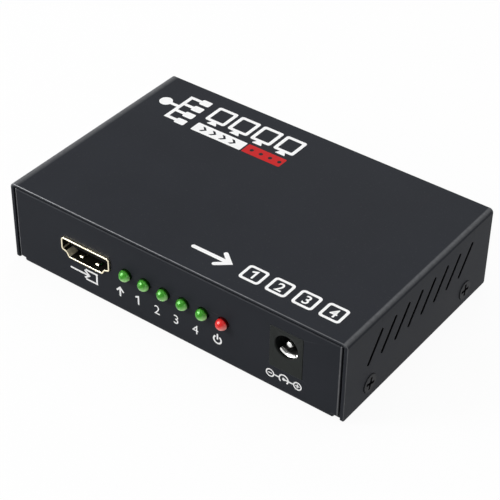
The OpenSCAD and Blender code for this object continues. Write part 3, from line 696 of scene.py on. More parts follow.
def edge_wear():
    """Group: a mask of worn edges and painted edge highlights, broken up by noise."""

    def build(group, given):
        round_normal = group.nodes.new("ShaderNodeBevel")
        round_normal.samples = 8
        group.links.new(given["Width"], round_normal.inputs["Radius"])
        geometry = group.nodes.new("ShaderNodeNewGeometry")
        turned = agreement(group, round_normal.outputs["Normal"], geometry.outputs["True Normal"])
        edge = spread(group, turned, 0.995, 0.8, 0.0, 0.6)
        edge = maths(group, "MAXIMUM", edge, held_value(group, "rubbed"))
        patchy = spread(group, noise(group, given["Break-up"], 4.0, 0.6), 0.35, 0.65, 0.75, 1.0)
        mask = maths(group, "MULTIPLY", edge, patchy)
        return {"Mask": maths(group, "MULTIPLY", mask, given["Amount"], True)}

    return node_group("Edge wear", {"Width": 0.0003, "Amount": 0.5, "Break-up": 900.0}, build)


def fine_dust():
    """Group: a mask of sparse dust specks on faces that look up."""

    def build(group, given):
        geometry = group.nodes.new("ShaderNodeNewGeometry")
        upward = agreement(group, geometry.outputs["Normal"], (0.0, 0.0, 1.0))
        facing = spread(group, upward, 0.3, 0.9, 0.0, 1.0)
        specks = spread(group, noise(group, given["Speck scale"], 1.0), 0.66, 0.74, 0.0, 1.0)
        mask = maths(group, "MULTIPLY", facing, specks)
        return {"Mask": maths(group, "MULTIPLY", mask, given["Amount"], True)}

    return node_group("Fine dust", {"Amount": 0.2, "Speck scale": 2200.0}, build)


def blank_material(name, settings):
    """A new material with plain settings of its shader; gives back the material, its tree and its shader."""
    material = bpy.data.materials.new(name)
    material.use_nodes = True
    tree = material.node_tree
    shader = tree.nodes["Principled BSDF"]
    for label, value in settings.items():
        shader.inputs[label].default_value = value
    return material, tree, shader


def add_relief(tree, shader, height, strength, micrometres):
    """Raises the surface by a height that changes over it."""
    relief = tree.nodes.new("ShaderNodeBump")
    relief.inputs["Strength"].default_value = strength
    relief.inputs["Distance"].default_value = micrometres * 1e-6
    tree.links.new(height, relief.inputs["Height"])
    tree.links.new(relief.outputs["Normal"], shader.inputs["Normal"])


def surface(
        name, tones, roughness, grain, metallic=0.0, specular=0.5, wear_and_highlight=None, dust=0.0, coat=0.0,
        gloss=(1.0, 1.0, 1.0)):
    """A material with grain, cloudiness, lighter edges of worn paint and painted highlights, and dust.

    The cloudiness runs between two tones and between two values of roughness. grain is the scale of the fine
    grain, the scale of the cloudiness, and the strength and the depth in micrometres of the relief. The
    setting for lighter edges is the colour, the width in millimetres and the amount of worn paint and painted
    highlights along edges. gloss is the tint of the reflections.
    """
    fine, broad, bump, depth = grain
    material, tree, shader = blank_material(name, {
        "Metallic": metallic, "Specular IOR Level": specular, "Specular Tint": (*gloss, 1.0),
        "Coat Weight": coat})
    texture = placed_group(tree, surface_grain(), {"Fine scale": fine, "Broad scale": broad})
    paint = blended(tree, spread(tree, texture["Broad"], 0.3, 0.7, 0.0, 1.0), *tones)
    mixed = maths(tree, "ADD", maths(tree, "MULTIPLY", texture["Fine"], 0.35),
                  maths(tree, "MULTIPLY", texture["Broad"], 0.65))
    rough = spread(tree, mixed, 0.3, 0.7, *roughness)
    if dust:
        specks = placed_group(tree, fine_dust(), {"Amount": dust})["Mask"]
        paint = blended(tree, specks, paint, DUST)
    if wear_and_highlight:
        # The lighter edge colour is worn paint and a painted highlight
        bare, width, amount = wear_and_highlight
        rubbed = placed_group(tree, edge_wear(), {"Width": width * MM, "Amount": amount})["Mask"]
        paint = blended(tree, rubbed, paint, bare)
        rough = maths(tree, "MULTIPLY", rough, spread(tree, rubbed, 0.0, 1.0, 1.0, 0.6))
        metal = spread(tree, rubbed, 0.0, 1.0, metallic, max(metallic, 0.25))
        tree.links.new(metal, shader.inputs["Metallic"])
    tree.links.new(paint, shader.inputs["Base Color"])
    tree.links.new(rough, shader.inputs["Roughness"])
    add_relief(tree, shader, texture["Fine"], bump, depth)
    return material


def lamp_resin(name, tint, glow):
    """Tinted resin of a lamp, with painted light low on its right side and painted shade at its foot."""
    shares = [c / max(tint) for c in tint]
    material, tree, shader = blank_material(name, {
        "IOR": 1.6, "Specular Tint": (*(0.3 + 0.7 * s for s in shares), 1.0), "Subsurface Weight": 0.5,
        "Subsurface Radius": [0.2 + 0.8 * s for s in shares], "Subsurface Scale": 0.0006})
    texture = placed_group(tree, surface_grain(), {"Fine scale": 2400.0, "Broad scale": 420.0})
    lit = blended(tree, spread(tree, texture["Broad"], 0.3, 0.7, 0.0, 1.0), *two_tones(tint))
    # Painted light: faces turned away from the lights, low and right, take the glow colour
    where = tree.nodes.new("ShaderNodeTexCoord")
    facing = agreement(tree, where.outputs["Normal"], (0.5, 0.1, -0.86))
    with_painted_light = blended(tree, spread(tree, facing, -0.2, 0.55, 0.0, 1.0), lit, glow)
    # Painted shade at the lamp's foot, next to the panel
    foot = spread(tree, held_value(tree, "depth"), 0.85, 1.0, 0.0, 1.0)
    tree.links.new(blended(tree, foot, with_painted_light, shaded(tint, 0.08)), shader.inputs["Base Color"])
    tree.links.new(spread(tree, texture["Fine"], 0.3, 0.7, 0.12, 0.2), shader.inputs["Roughness"])
    add_relief(tree, shader, texture["Fine"], 0.1, 10)
    return material


def shaded(value, share):
    """A colour made darker or lighter by a share."""
    return tuple(c * share for c in value)


def two_tones(value, share=0.08):
    """A colour made darker and made lighter by a share."""
    return shaded(value, 1 - share), shaded(value, 1 + share)


def finish(look, name):
    """The material of that name, made the first time that it is asked for."""
    found = bpy.data.materials.get(name)
    if found:
        return found
    lamps, inside, plating, nickel = look.lamps, look.inside, look.sockets.plating, look.jack.metal
    resins = {"green resin": (lamps.green, lamps.green_glow), "red resin": (lamps.red, lamps.red_glow)}
    if name in resins:
        return lamp_resin(name, *resins[name])
    rolled, printed = (2600, 240, 0.06, 6), (5200, 300, 0.25, 10)
    rows = {
        # The case paint's lighter edges and folds are painted highlights as well as worn paint
        "case paint": (two_tones(look.case.paint, 0.07), (0.38, 0.48), (5200, 45, 0.35, 12), {
            "specular": 0.035, "gloss": (0.82, 0.88, 1.0), "dust": 0.02,
            "wear_and_highlight": (look.case.rubbed, 0.12, 0.9)}),
        # Painted shade: near black, on hole walls, the screws' recesses and the seam under the cover's edges,
        # where shade falls
        "painted shade black": (two_tones((0.001, 0.001, 0.00115), 0.4), (0.7, 0.85), (5200, 800, 0.3, 12), {
            "specular": 0.02}),
        "gilt plating": (two_tones(plating, 0.06), (0.24, 0.36), rolled, {
            "metallic": 1.0, "wear_and_highlight": ((0.97, 0.92, 0.78), 0.12, 0.4)}),
        # Copies of the plating in painted shade, deep and faint, for the inside of a shell
        "plating in deep painted shade": (two_tones(shaded(plating, 0.008), 0.5), (0.45, 0.6), rolled, {
            "specular": 0.05}),
        "plating in faint painted shade": (two_tones(shaded(plating, 0.6), 0.5), (0.45, 0.6), rolled, {"specular": 0.05}),
        "contact gold": (((0.8, 0.56, 0.2), (0.88, 0.66, 0.28)), (0.15, 0.28), (5200, 900, 0.1, 6), METAL),
        "black moulding": (two_tones(look.sockets.insulator, 0.15), (0.5, 0.65), (5000, 300, 0.2, 10), {
            "specular": 0.03}),
        "bright nickel": (two_tones(nickel, 0.04), (0.12, 0.24), (3000, 400, 0.12, 8), METAL),
        # Nickel in painted shade, for the leaf deeper inside the jack
        "nickel in painted shade": (two_tones(shaded(nickel, 0.16), 0.3), (0.3, 0.45), (3000, 700, 0.12, 8), METAL),
        "jack moulding": (two_tones(look.jack.plastic, 0.1), (0.4, 0.52), (4200, 150, 0.3, 14), {
            "specular": 0.06, "wear_and_highlight": ((0.08, 0.083, 0.082), 0.2, 0.2)}),
        "blackened steel": (two_tones(look.screws.steel, 0.15), (0.36, 0.5), (3600, 700, 0.3, 14), {
            "specular": 0.06, "wear_and_highlight": ((0.07, 0.072, 0.076), 0.12, 0.3)}),
        "white ink": (two_tones(look.prints.white, 0.03), (0.42, 0.55), printed, {"specular": 0.12}),
        "red ink": (two_tones(look.prints.red, 0.03), (0.42, 0.55), printed, {"specular": 0.12}),
        "solder mask": ((inside.board_mask, inside.copper), (0.22, 0.34), (2600, 520, 0.3, 20), {
            "coat": 0.2}),
        "chip epoxy": (two_tones((0.02, 0.02, 0.022), 0.15), (0.5, 0.65), (4200, 200, 0.4, 20), {
            "specular": 0.35}),
        "tinned copper": (((0.56, 0.57, 0.58), (0.66, 0.66, 0.65)), (0.25, 0.4), (3200, 600, 0.2, 10), METAL),
        "plated brass": (((0.68, 0.63, 0.48), (0.74, 0.7, 0.56)), (0.25, 0.38), (3000, 400, 0.2, 10), METAL),
        "black anodised": (two_tones((0.03, 0.032, 0.036), 0.12), (0.4, 0.55), (3000, 120, 0.3, 20), {
            "metallic": 0.6}),
        "bare can": (((0.54, 0.55, 0.56), (0.62, 0.62, 0.61)), (0.22, 0.38), (2400, 260, 0.2, 10), METAL),
        "soft pad": (two_tones((0.28, 0.3, 0.33), 0.1), (0.7, 0.85), (2600, 300, 0.4, 20), {}),
        "ferrite": (two_tones((0.045, 0.047, 0.05), 0.15), (0.55, 0.7), (3000, 300, 0.5, 20), {}),
        "fired ceramic": (two_tones((0.46, 0.33, 0.17), 0.12), (0.4, 0.55), (4000, 900, 0.3, 10), {}),
    }
    tones, roughness, grain, others = rows[name]
    return surface(name, tones, roughness, grain, **others)


# Pieces


class SPLITTER_OT_cover(bpy.types.Operator):
    """Folds the cover from a flat sheet with slanted vents and countersunk screw holes"""

    bl_idname = "splitter.cover"
    bl_label = "Cover"

    def execute(self, context):
        look = context.scene.splitter_look
        case = look.case
        sheet, fold = case.sheet / MM, case.fold / MM
        top = COVER_HIGH.z - look.prints.film / MM
        flat = COVER_HIGH.x - fold - sheet
        corner_z = top - fold - sheet
        middle = fold + sheet / 2
        arc = middle * math.pi / 2
        # Where the side walls' height is 0 on the flat sheet, from its middle line
        foot = flat + arc + corner_z
        reach = foot - COVER_LOW.z

        vent_edge = edge_profile(sheet, 0.08, 0.08, 2) + [(0.2, sheet)]
        rise = case.vent_rise / MM / math.cos(case.vent_lean)
        lean = math.pi / 2 - case.vent_lean
        hole = 1.7
        sink = [(0.03, 0), (0, 0.03), (0.76, sheet - 0.06), (0.78, sheet - 0.02), (0.8, sheet), (0.98, sheet)]
        holes = []
        for side in (-1, 1):
            for i in range(case.vent_count):
                y = (i - (case.vent_count - 1) / 2) * case.vent_pitch / MM
                u = side * (foot - case.vent_z / MM)
                holes.append((stadium(u, y, rise, case.vent_w / MM, -side * lean), vent_edge))
            for name in SCREWS:
                screw = mm_middle(name)
                if screw.x * side > 0:
                    holes.append((circle(side * (foot - screw.z), screw.y, hole), sink))

        bm = bmesh.new()
        outline = rectangle(-reach, COVER_LOW.y, reach, COVER_HIGH.y, 0.6)
        rim = case.cover_edge / MM
        rim_end = rim + 0.05
        under, seam, turns = 0.12, 0.31, 4
        border = edge_profile(sheet, under, rim, turns) + [(rim_end, sheet)]
        border.insert(turns + 1, (0.0, seam))
        # Vent and screw hole walls get a near-black painted shade; the outer edge's rounding gets lighter
        # paint, worn paint and a painted highlight
        add_sheet(bm, outline, border, holes, 1, 0.4)
        fade, steps = 1.3, 10
        for side in (-1, 1):
            crease(bm, Vector((side, 0, 0)), [flat - fade + fade * i / steps for i in range(steps)])
            crease(bm, Vector((side, 0, 0)), [flat + arc * i / steps for i in range(steps + 1)])
        # The lower part of the top's front and rear edge faces lies in the seam over the panels and gets a
        # near-black painted shade
        near = 0.01
        for face in bm.faces:
            if all(under - 4 * near < v.co.z < seam + near and abs(v.co.y) > COVER_HIGH.y - near
                   and abs(v.co.x) < flat + near for v in face.verts):
                face.material_index = 1

        def folded(p):
            if abs(p.x) <= flat:
                return Vector((p.x, p.y, top - sheet + p.z))
            x, lift = curled(abs(p.x), flat, fold, middle, p.z)
            return Vector((math.copysign(x, p.x), p.y, corner_z + lift))

        def rubbed_fold(p):
            """Lighter paint, worn paint and a painted highlight, along the front edge, brighter towards the
            left; a painted highlight along both folds, fading in at the left one.
            """
            past = abs(p.x) - flat
            if p.z < sheet / 2:
                return 0.0
            # The front edge's painted highlight is brighter towards the left, where the front lamp's
            # reflection falls
            front = rubbed_share(p.y - COVER_LOW.y, rim_end) * (0.7 - 0.25 * p.x / COVER_HIGH.x)
            # A painted highlight along the right fold, and along the left fold fading in before it
            if p.x > 0:
                return max(front, 0.34 * rubbed_share(past + 0.25, 0.95))
            return max(front, 0.4 * clamped(past / fade + 1) * clamped(4 - 4 * past / arc))

        bend(bm, folded, rubbed_fold)
        finished(look, "cover_sheet", bm, ["case paint", "painted shade black"], CASE_BODY, ("top_cover",))
        return {"FINISHED"}


class SPLITTER_OT_tray(bpy.types.Operator):
    """Folds the tray from a flat sheet: floor, front and rear panels, screw tabs with drawn collars"""

    bl_idname = "splitter.tray"
    bl_label = "Tray"

    def execute(self, context):
        look = context.scene.splitter_look
        case = look.case
        sheet, fold = case.sheet / MM, case.fold / MM
        outer = fold + sheet
        middle = fold + sheet / 2
        arc = middle * math.pi / 2
        # Where the folds start, and where the height of the panels and tabs is 0 on the flat sheet
        flat_x, flat_y = TRAY_HIGH.x - outer, TRAY_HIGH.y - outer
        foot_x, foot_y = flat_x + arc - outer, flat_y + arc - outer
        panel_end = foot_y + TRAY_HIGH.z
        notch_end = foot_y + case.notch_h / MM
        half = case.panel_half / MM
        notched = half - case.notch_w / MM
        screw = mm_middle(SCREWS[0])
        screw.y = abs(screw.y)
        # Half of a tab, half of a tab with its slits, the slits' inner ends and the tab's upper edge
        tab, slit, slit_in, tab_end = 6.0, 7.0, flat_x - 1.0, foot_x + screw.z + 3.4

        # The outline's right front quarter from the front panel's top edge to the middle
        quarter = [
            (half, -panel_end), (half, -notch_end), (notched, -notch_end), (notched, -flat_y),
            (half, -flat_y), (half, -screw.y - slit), (slit_in, -screw.y - slit), (slit_in, -screw.y - tab),
            (tab_end, -screw.y - tab), (tab_end, -screw.y + tab), (slit_in, -screw.y + tab),
            (slit_in, -screw.y + slit), (half, -screw.y + slit),
        ]
        right = quarter + [(x, -y) for x, y in quarter[::-1]]
        outline = right + [(-x, y) for x, y in right[::-1]]

        def panel(x, z, way=-1):
            """Flat place of a point of the front (-1) or rear (1) panel."""
            return x, way * (foot_y + z)

        edge = edge_profile(sheet, 0.08, 0.12, 2)
        tight_edge = edge_profile(sheet, 0.08, 0.05, 2)
        thread_edge = [(0, 0), (0, sheet - 0.12), (0.05, sheet - 0.1), (0.2, sheet)]
        lamp_hole, stand_hole, thread_hole = 1.6, 2.05, 1.3
        gap, stand_half, round_steps = 0.05, 2.5, 32
        holes = []
        for which in SOCKETS:
            x, z = socket_middle(which)
            way = -1 if which == "input" else 1
            holes.append(([panel(x + px, z + pz, way) for px, pz in socket_outline(0.48)], edge))
        for which in LAMPS:
            holes.append((circle(*panel(*lamp_middle(which)), lamp_hole, round_steps), edge))
        upper_left = panel(JACK_LOW.x - gap, JACK_HIGH.z + gap)
        lower_right = panel(JACK_HIGH.x + gap, JACK_LOW.z - gap)
        holes.append((rectangle(*upper_left, *lower_right, 0.2), tight_edge))
        stand = mm_box("board_standoffs")[1]
        for sx, sy in QUARTERS:
            x, y = sx * (stand.x - stand_half), sy * (stand.y - stand_half)
            holes.append((circle(x, y, stand_hole, round_steps), edge))
            x, y = sx * (foot_x + screw.z), sy * screw.y
            holes.append((circle(x, y, thread_hole, round_steps), thread_edge))

        bm = bmesh.new()
        rim = case.panel_edge / MM
        rim_end = rim + 0.15
        # Hole walls get a near-black painted shade; the outer edge's rounding gets a little lighter paint,
        # worn paint and a painted highlight
        add_sheet(bm, outline, edge_profile(sheet, 0.1, rim, 4) + [(rim_end, sheet)], holes, 1, 0.09)
        steps = 8
        for side in (-1, 1):
            crease(bm, Vector((0, side, 0)), [flat_y + arc * i / steps for i in range(steps + 1)])
            crease(bm, Vector((side, 0, 0)), [flat_x + arc * i / steps for i in range(steps + 1)])

        def folded(p):
            if abs(p.y) > flat_y:
                y, lift = curled(abs(p.y), flat_y, fold, middle, p.z)
                return Vector((p.x, math.copysign(y, p.y), outer - lift))
            if abs(p.x) > flat_x and abs(abs(p.y) - screw.y) < tab + 0.5:
                x, lift = curled(abs(p.x), flat_x, fold, middle, p.z)
                return Vector((math.copysign(x, p.x), p.y, outer - lift))
            return Vector((p.x, p.y, sheet - p.z))

        def rubbed_side(p):
            """Lighter paint along the panels' side edges: worn paint and a painted highlight."""
            on_panel = abs(p.y) > flat_y + arc and p.z > sheet / 2
            return 0.48 * rubbed_share(half - abs(p.x), rim_end) if on_panel else 0.0

        bend(bm, folded, rubbed_side)
        collar = [(thread_hole, 1.2), (2.0, 1.2), (2.1, 1.1), (2.1, 0.0), (thread_hole, 0.0)]
        for sx, sy in QUARTERS:
            inward = "-X" if sx > 0 else "+X"
            add_ring(bm, collar, along(inward, sx * (TRAY_HIGH.x - sheet), sy * screw.y, screw.z))
        finished(look, "tray_sheet", bm, ["case paint", "painted shade black"], CASE_BODY,
                 ("bottom_tray",))
        return {"FINISHED"}


def at_socket(which):
    """Where a socket stands: its mouth's middle, turned to face its panel."""
    low, high = mm_box(node_of("shell", which))
    x, z = socket_middle(which)
    if which == "input":
        return Matrix.Translation((x, low.y, z))
    return Matrix.Translation((x, high.y, z)) @ Matrix.Rotation(math.pi, 4, "Z")


def shell_mesh(look):
    """A socket's shell, rolled from a flat sheet with sprung fingers, with its mouth at y = 0."""
    sockets = look.sockets
    sheet = sockets.shell / MM
    depth = sockets.depth / MM
    ring = [Vector(p) for p in socket_outline(sheet / 2)]
    top = max(p.y for p in ring)
    first = next(i for i, p in enumerate(ring) if p.x < 0 and abs(p.y - top) < 1e-6)
    path = [Vector((0, top))] + ring[first:] + ring[:first] + [Vector((0, top))]
    marks = [0.0]
    for a, b in zip(path, path[1:]):
        marks.append(marks[-1] + (b - a).length)
    total = marks[-1]
    outs = [-shift for shift in mitres(path, False)]

    # A finger is cut free from its tip to its root, and is bent up again near its tip
    half, slit, tip, bent, root = sockets.finger_w / MM / 2, 0.25, 1.4, 1.9, 6.0
    wide = half + slit
    dip = sockets.finger_dip / MM
    place = sockets.finger_x / MM
    fingers = [place, total - place, total / 2 - place, total / 2 + place]
    round_edge = edge_profile(sheet, 0.06, 0.06, 2)
    holes = [([
        (s - wide, tip - slit), (s + wide, tip - slit), (s + wide, root), (s + half, root),
        (s + half, tip), (s - half, tip), (s - half, root), (s - wide, root)], round_edge) for s in fingers]
    seam, mouth = 0.02, 0.2
    bm = bmesh.new()
    add_sheet(bm, rectangle(seam, 0, total - seam, depth), edge_profile(sheet, 0.07, 0.09, 3), holes)
    crease(bm, Vector((1, 0, 0)), marks[1:-1])
    crease(bm, Vector((0, 1, 0)), (mouth, 1.6, bent, 2.3, 3.0, 4.0, 5.0))

    def on_finger(s):
        return any(abs(s - f) < half + 0.07 for f in fingers)

    # Inner faces past the mouth get a deep painted shade, all but the finger tips
    for face in bm.faces:
        spot = face.calc_center_median()
        out_of_painted_shade = on_finger(spot.x) and tip - 0.1 < spot.y < bent
        face.material_index = max(v.co.z for v in face.verts) < sheet / 3 and spot.y > mouth and not out_of_painted_shade

    def pressed(s, y):
        """How far a point of a finger is pressed into the opening."""
        if not on_finger(s) or not tip - 0.07 < y < root:
            return 0.0
        if y < bent:
            return dip * (1 - 0.55 * ((bent - y) / 0.5) ** 2)
        return dip * (root - y) / (root - bent)

    def rolled(p):
        i = next((k for k in range(len(marks) - 1) if p.x <= marks[k + 1]), len(marks) - 2)
        share = (p.x - marks[i]) / (marks[i + 1] - marks[i])
        middle = path[i].lerp(path[i + 1], share)
        out = outs[i].lerp(outs[i + 1], share)
        spot = middle + out * (p.z - sheet / 2 - pressed(p.x, p.y))
        return Vector((spot.x, p.y, spot.y))

    bend(bm, rolled)
    # The inside past the mouth has the deep painted shade; a fainter painted shade, where light falls, goes
    # on the left side's steep wall and inner corner near the mouth
    for face in bm.faces:
        spot = face.calc_center_median()
        steep = -6.1 < spot.x < -4.8 and spot.z < -0.9
        corner = spot.x < -6.75 and abs(spot.z + 0.5) < 0.2
        if face.material_index == 1 and spot.y < 3.1 and (steep or corner):
            face.material_index = 2
    bottom = mm_box("input_shell")[0].z - socket_middle("input")[1]
    sideways = Matrix(((0, 0, 1, 0), (1, 0, 0, 0), (0, 1, 0, 0), (0, 0, 0, 1)))
    for x in (-7.2, 7.2):
        for y in (4.0, 9.5):
            foot = [(y - 0.4, bottom), (y + 0.4, bottom), (y + 0.7, 0.3), (y - 0.7, 0.3)]
            place = Matrix.Translation((x - sheet / 2, 0, 0)) @ sideways
            add_plate(bm, place, rounded(foot, 0.15, 3), edge_profile(sheet, 0.06, 0.06))
    return bm


def insulator_mesh():
    """A socket's tongue with its chamfered tip, its block and its back wall."""
    bm = bmesh.new()
    tongue = [(-5.8, 9.0), (-5.8, 1.85), (-5.45, 1.5), (5.45, 1.5), (5.8, 1.85), (5.8, 9.0)]
    chamfers = ((0.32, 0.0), (0.0, 0.3), (0.0, 1.1), (0.32, 1.4))
    add_plate(bm, Matrix.Translation((0, 0, -0.5)), tongue, chamfers)
    behind, rear = 11.55, 13.0
    add_plate(bm, along("-Y", 0, behind, 0), socket_outline(-0.05), edge_profile(4.05, 0.12, 0.05, 2))
    bottom = mm_box("input_insulator")[0].z - socket_middle("input")[1]
    add_block(bm, (-OPENING_HALF, behind, bottom), (OPENING_HALF, rear, OPENING_UP), 0.12)
    return bm


class SPLITTER_OT_sockets(bpy.types.Operator):
    """Builds the five video sockets: rolled shells with sprung fingers, tongues and contacts"""

    bl_idname = "splitter.sockets"
    bl_label = "Video sockets"

    def execute(self, context):
        look = context.scene.splitter_look
        platings = ["gilt plating", "plating in deep painted shade", "plating in faint painted shade"]
        kinds = (
            ("shell", to_mesh(shell_mesh(look), "shell"), platings, "gilt_shell"),
            ("insulator", to_mesh(insulator_mesh(), "insulator"), ["black moulding"], "black_insulator"),
        )
        for which in SOCKETS:
            for kind, mesh, finishes, slot in kinds:
                name = "%s_socket_%s" % (which, kind)
                bm = placed_copy(mesh, at_socket(which))
                finished(look, name, bm, finishes, CASE_BODY, (node_of(kind, which),))
            dress(look, node_of("contacts", which), "contact gold", 0.04)
        for _, mesh, _, _ in kinds:
            bpy.data.meshes.remove(mesh)
        return {"FINISHED"}


class SPLITTER_OT_lamps(bpy.types.Operator):
    """Turns the six lamps: domed, with a rim that is flat on one side"""

    bl_idname = "splitter.lamps"
    bl_label = "Lamps"

    def execute(self, context):
        look = context.scene.splitter_look
        radius = look.lamps.width / MM / 2
        rim_end, dome_steps = 1.0, 14
        turns = [math.pi / 2 * i / dome_steps for i in range(dome_steps)]
        for which in LAMPS:
            low, high = mm_box("led_" + which)
            long = high.y - low.y
            rim = (high.z - low.z) / 2
            x, z = lamp_middle(which)
            rings = [(rim - 0.08, 0.0), (rim, 0.08), (rim, rim_end - 0.1), (rim - 0.1, rim_end),
                     (radius + 0.08, rim_end), (radius, rim_end + 0.08)]
            rings += [(radius * math.cos(t), long - radius + radius * math.sin(t)) for t in turns]
            bm = bmesh.new()
            add_turned(bm, rings, Matrix.Identity(4))
            deep = bm.verts.layers.float.new("depth")
            for v in bm.verts:
                v.co.x = min(v.co.x, radius)
                v[deep] = 1 - clamped((v.co.z - long + radius) / radius)
            bmesh.ops.transform(bm, matrix=along("-Y", x, high.y, z), verts=bm.verts)
            tint = "red" if which == "power" else "green"
            finished(look, "lamp_" + which, bm, [tint + " resin"],
                     replaced=("led_" + which,), sharp=50)
        return {"FINISHED"}


class SPLITTER_OT_jack(bpy.types.Operator):
    """Builds the power jack: moulded housing, middle pin and sprung leaf"""

    bl_idname = "splitter.jack"
    bl_label = "Power jack"

    def execute(self, context):
        look = context.scene.splitter_look
        jack = look.jack
        hole, bore, lip = jack.hole / MM / 2, jack.bore / MM / 2, jack.lip / MM
        pin, flange, round_steps = 1.0, 1.4, 64
        pin_low, pin_high = mm_box("jack_pin")
        x, z = (JACK_LOW.x + JACK_HIGH.x) / 2, pin_high.z - flange
        front, rear = JACK_LOW.y, JACK_HIGH.y
        # Depths of the block behind the face and of the bore's end
        block_end, deep = 3.4, 10.2
        bottom = JACK_LOW.z - z

        # Drawn in X and Z with the thickness running from the face to the rear
        flip = Matrix(((1, 0, 0, 0), (0, 0, 1, 0), (0, 1, 0, 0), (0, 0, 0, 1)))

        def inward(depth):
            return Matrix.Translation((x, front + depth, z)) @ flip

        bm = bmesh.new()
        block = rectangle(JACK_LOW.x - x, bottom, JACK_HIGH.x - x, JACK_HIGH.z - z, 0.25)
        mouth = [(0.08, 0.0), (0.02, 0.03), (0, 0.08), (0, lip - 0.06), (0.06, lip), (0.8, lip),
                 (0.8, block_end)]
        add_plate(bm, inward(0), block, edge_profile(block_end, 0.12, 0.1, 3),
                  [(circle(0, 0, hole, round_steps), mouth)])
        half = bore + 0.8
        arch = [(-half, bottom), (half, bottom)] + open_ring(0, 0, half, 90, -90)
        for start, end, inner in ((block_end - 0.05, deep, bore), (deep - 0.05, rear - front, flange + 0.05)):
            through = [(0.0, 0.0), (0.0, end - start)]
            add_plate(bm, inward(start), arch, edge_profile(end - start, 0.05, 0.1, 2),
                      [(circle(0, 0, inner, round_steps), through)])
        finished(look, "jack_moulding", bm, ["jack moulding"], CASE_BODY, ("jack_housing",))

        bm = bmesh.new()
        start, end = pin_low.y - front, pin_high.y - front
        rings = [(0.56, start), (0.62, start + 0.03), (0.72, start + 0.2), (0.9, start + 0.5),
                 (pin, start + 0.8), (pin, deep), (flange, deep), (flange, end - 0.1), (flange - 0.1, end)]
        add_turned(bm, rings, along("+Y", x, front, z), 40)
        add_block(bm, (x - 1.2, rear, pin_low.z), (x + 1.2, rear + 0.3, z), 0.05)
        finished(look, "jack_middle_pin", bm, ["bright nickel"], CASE_BODY, ("jack_pin",))

        low, high = mm_box("jack_leaf")
        sheet, inner, flare, flare_long = 0.3, 2.5, 0.6, 0.8
        middle = inner + sheet / 2
        reach = middle * math.radians(50)
        bm = bmesh.new()
        outline = rectangle(-reach, 0, reach, high.y - low.y, 0.35)
        add_sheet(bm, outline, edge_profile(sheet, 0.08, 0.08, 2))
        crease(bm, Vector((1, 0, 0)), [reach * i / 10 for i in range(-9, 10)])
        out_of_painted_shade = 0.3
        crease(bm, Vector((0, 1, 0)), (0.15, out_of_painted_shade, 0.5, flare_long))
        # Deeper than that, the leaf gets the painted shade
        for face in bm.faces:
            face.material_index = face.calc_center_median().y > out_of_painted_shade

        def curved(p):
            turn = p.x / middle
            radius = inner + p.z + flare * max(0.0, 1 - p.y / flare_long) ** 1.2
            return Vector((x + radius * math.sin(turn), low.y + p.y, z - radius * math.cos(turn)))

        bend(bm, curved)
        finished(look, "jack_spring_leaf", bm, ["bright nickel", "nickel in painted shade"], LEAF_BODY,
                 ("jack_leaf",))
        dress(look, "jack_leaf_terminal", "bright nickel", 0.05)
        return {"FINISHED"}


class SPLITTER_OT_screws(bpy.types.Operator):
    """Turns and threads the four countersunk cover screws and cuts their cross recesses"""

    bl_idname = "splitter.screws"
    bl_label = "Cover screws"

    def execute(self, context):
        look = context.scene.splitter_look
        screws = look.screws
        head, shank, pitch = screws.head / MM / 2, screws.thread / MM / 2, screws.pitch / MM
        low, high = mm_box(SCREWS[1])
        long = high.x - low.x
        groove, rim = 0.24, 0.25

        def thread(height):
            """Radius of the thread at a height, as a function of the turn; it fades out at the tip."""
            def radius(turn):
                phase = (height / pitch - turn / (2 * math.pi)) % 1.0
                crest = abs(phase - 0.5) * 2
                fade = min(1.0, (height + long) / 0.4)
                return (shank - groove) + groove * crest * fade
            return radius

        start, end, count = -long + 0.05, shank - head - rim, 40
        heights = [start + (end - start) * i / count for i in range(count + 1)]
        rings = [(shank - 0.55, -long)] + [(thread(height), height) for height in heights]
        rings += [(head - 0.03, -rim), (head, 0.03 - rim), (head, -0.08), (head - 0.03, -0.02),
                  (head - 0.1, 0.0)]
        bm = bmesh.new()
        add_turned(bm, rings, Matrix.Identity(4))
        bmesh.ops.recalc_face_normals(bm, faces=bm.faces)

        # The cutter is a cross that narrows downwards
        span, wing, depth = screws.recess / MM / 2, 0.36, 1.0

        def cross(reach, half):
            loop = []
            for k in range(4):
                turn = Matrix.Rotation(-math.pi / 2 * k, 2)
                loop += [turn @ Vector(p) for p in ((-half, reach), (half, reach), (half, half))]
            return loop

        cutter = bmesh.new()
        rows = []
        for reach, half, height in ((0.6, 0.24, -depth), (span, wing, 0.0), (span, wing, 0.6)):
            rows.append([cutter.verts.new((p.x, p.y, height)) for p in cross(reach, half)])
        close_stack(cutter, rows)
        bmesh.ops.recalc_face_normals(cutter, faces=cutter.faces)
        cut = cut_away(to_mesh(bm, "blank"), to_mesh(cutter, "cutter"))
        # The recess's faces get the near-black painted shade
        for face in cut.polygons:
            face.material_index = -depth - 0.05 < face.center.z < -0.01 and face.center.xy.length < span

        for name, degrees in zip(SCREWS, (33, 75, 8, 86)):
            low, high = mm_box(name)
            middle = mm_middle(name)
            outward, x = ("+X", high.x) if middle.x > 0 else ("-X", low.x)
            turn = Matrix.Rotation(math.radians(degrees), 4, "Z")
            bm = placed_copy(cut, along(outward, x, middle.y, middle.z) @ turn)
            finished(look, name + "_turned", bm, ["blackened steel", "painted shade black"], name + "_body",
                     (name,), 32)
        bpy.data.meshes.remove(cut)
        return {"FINISHED"}


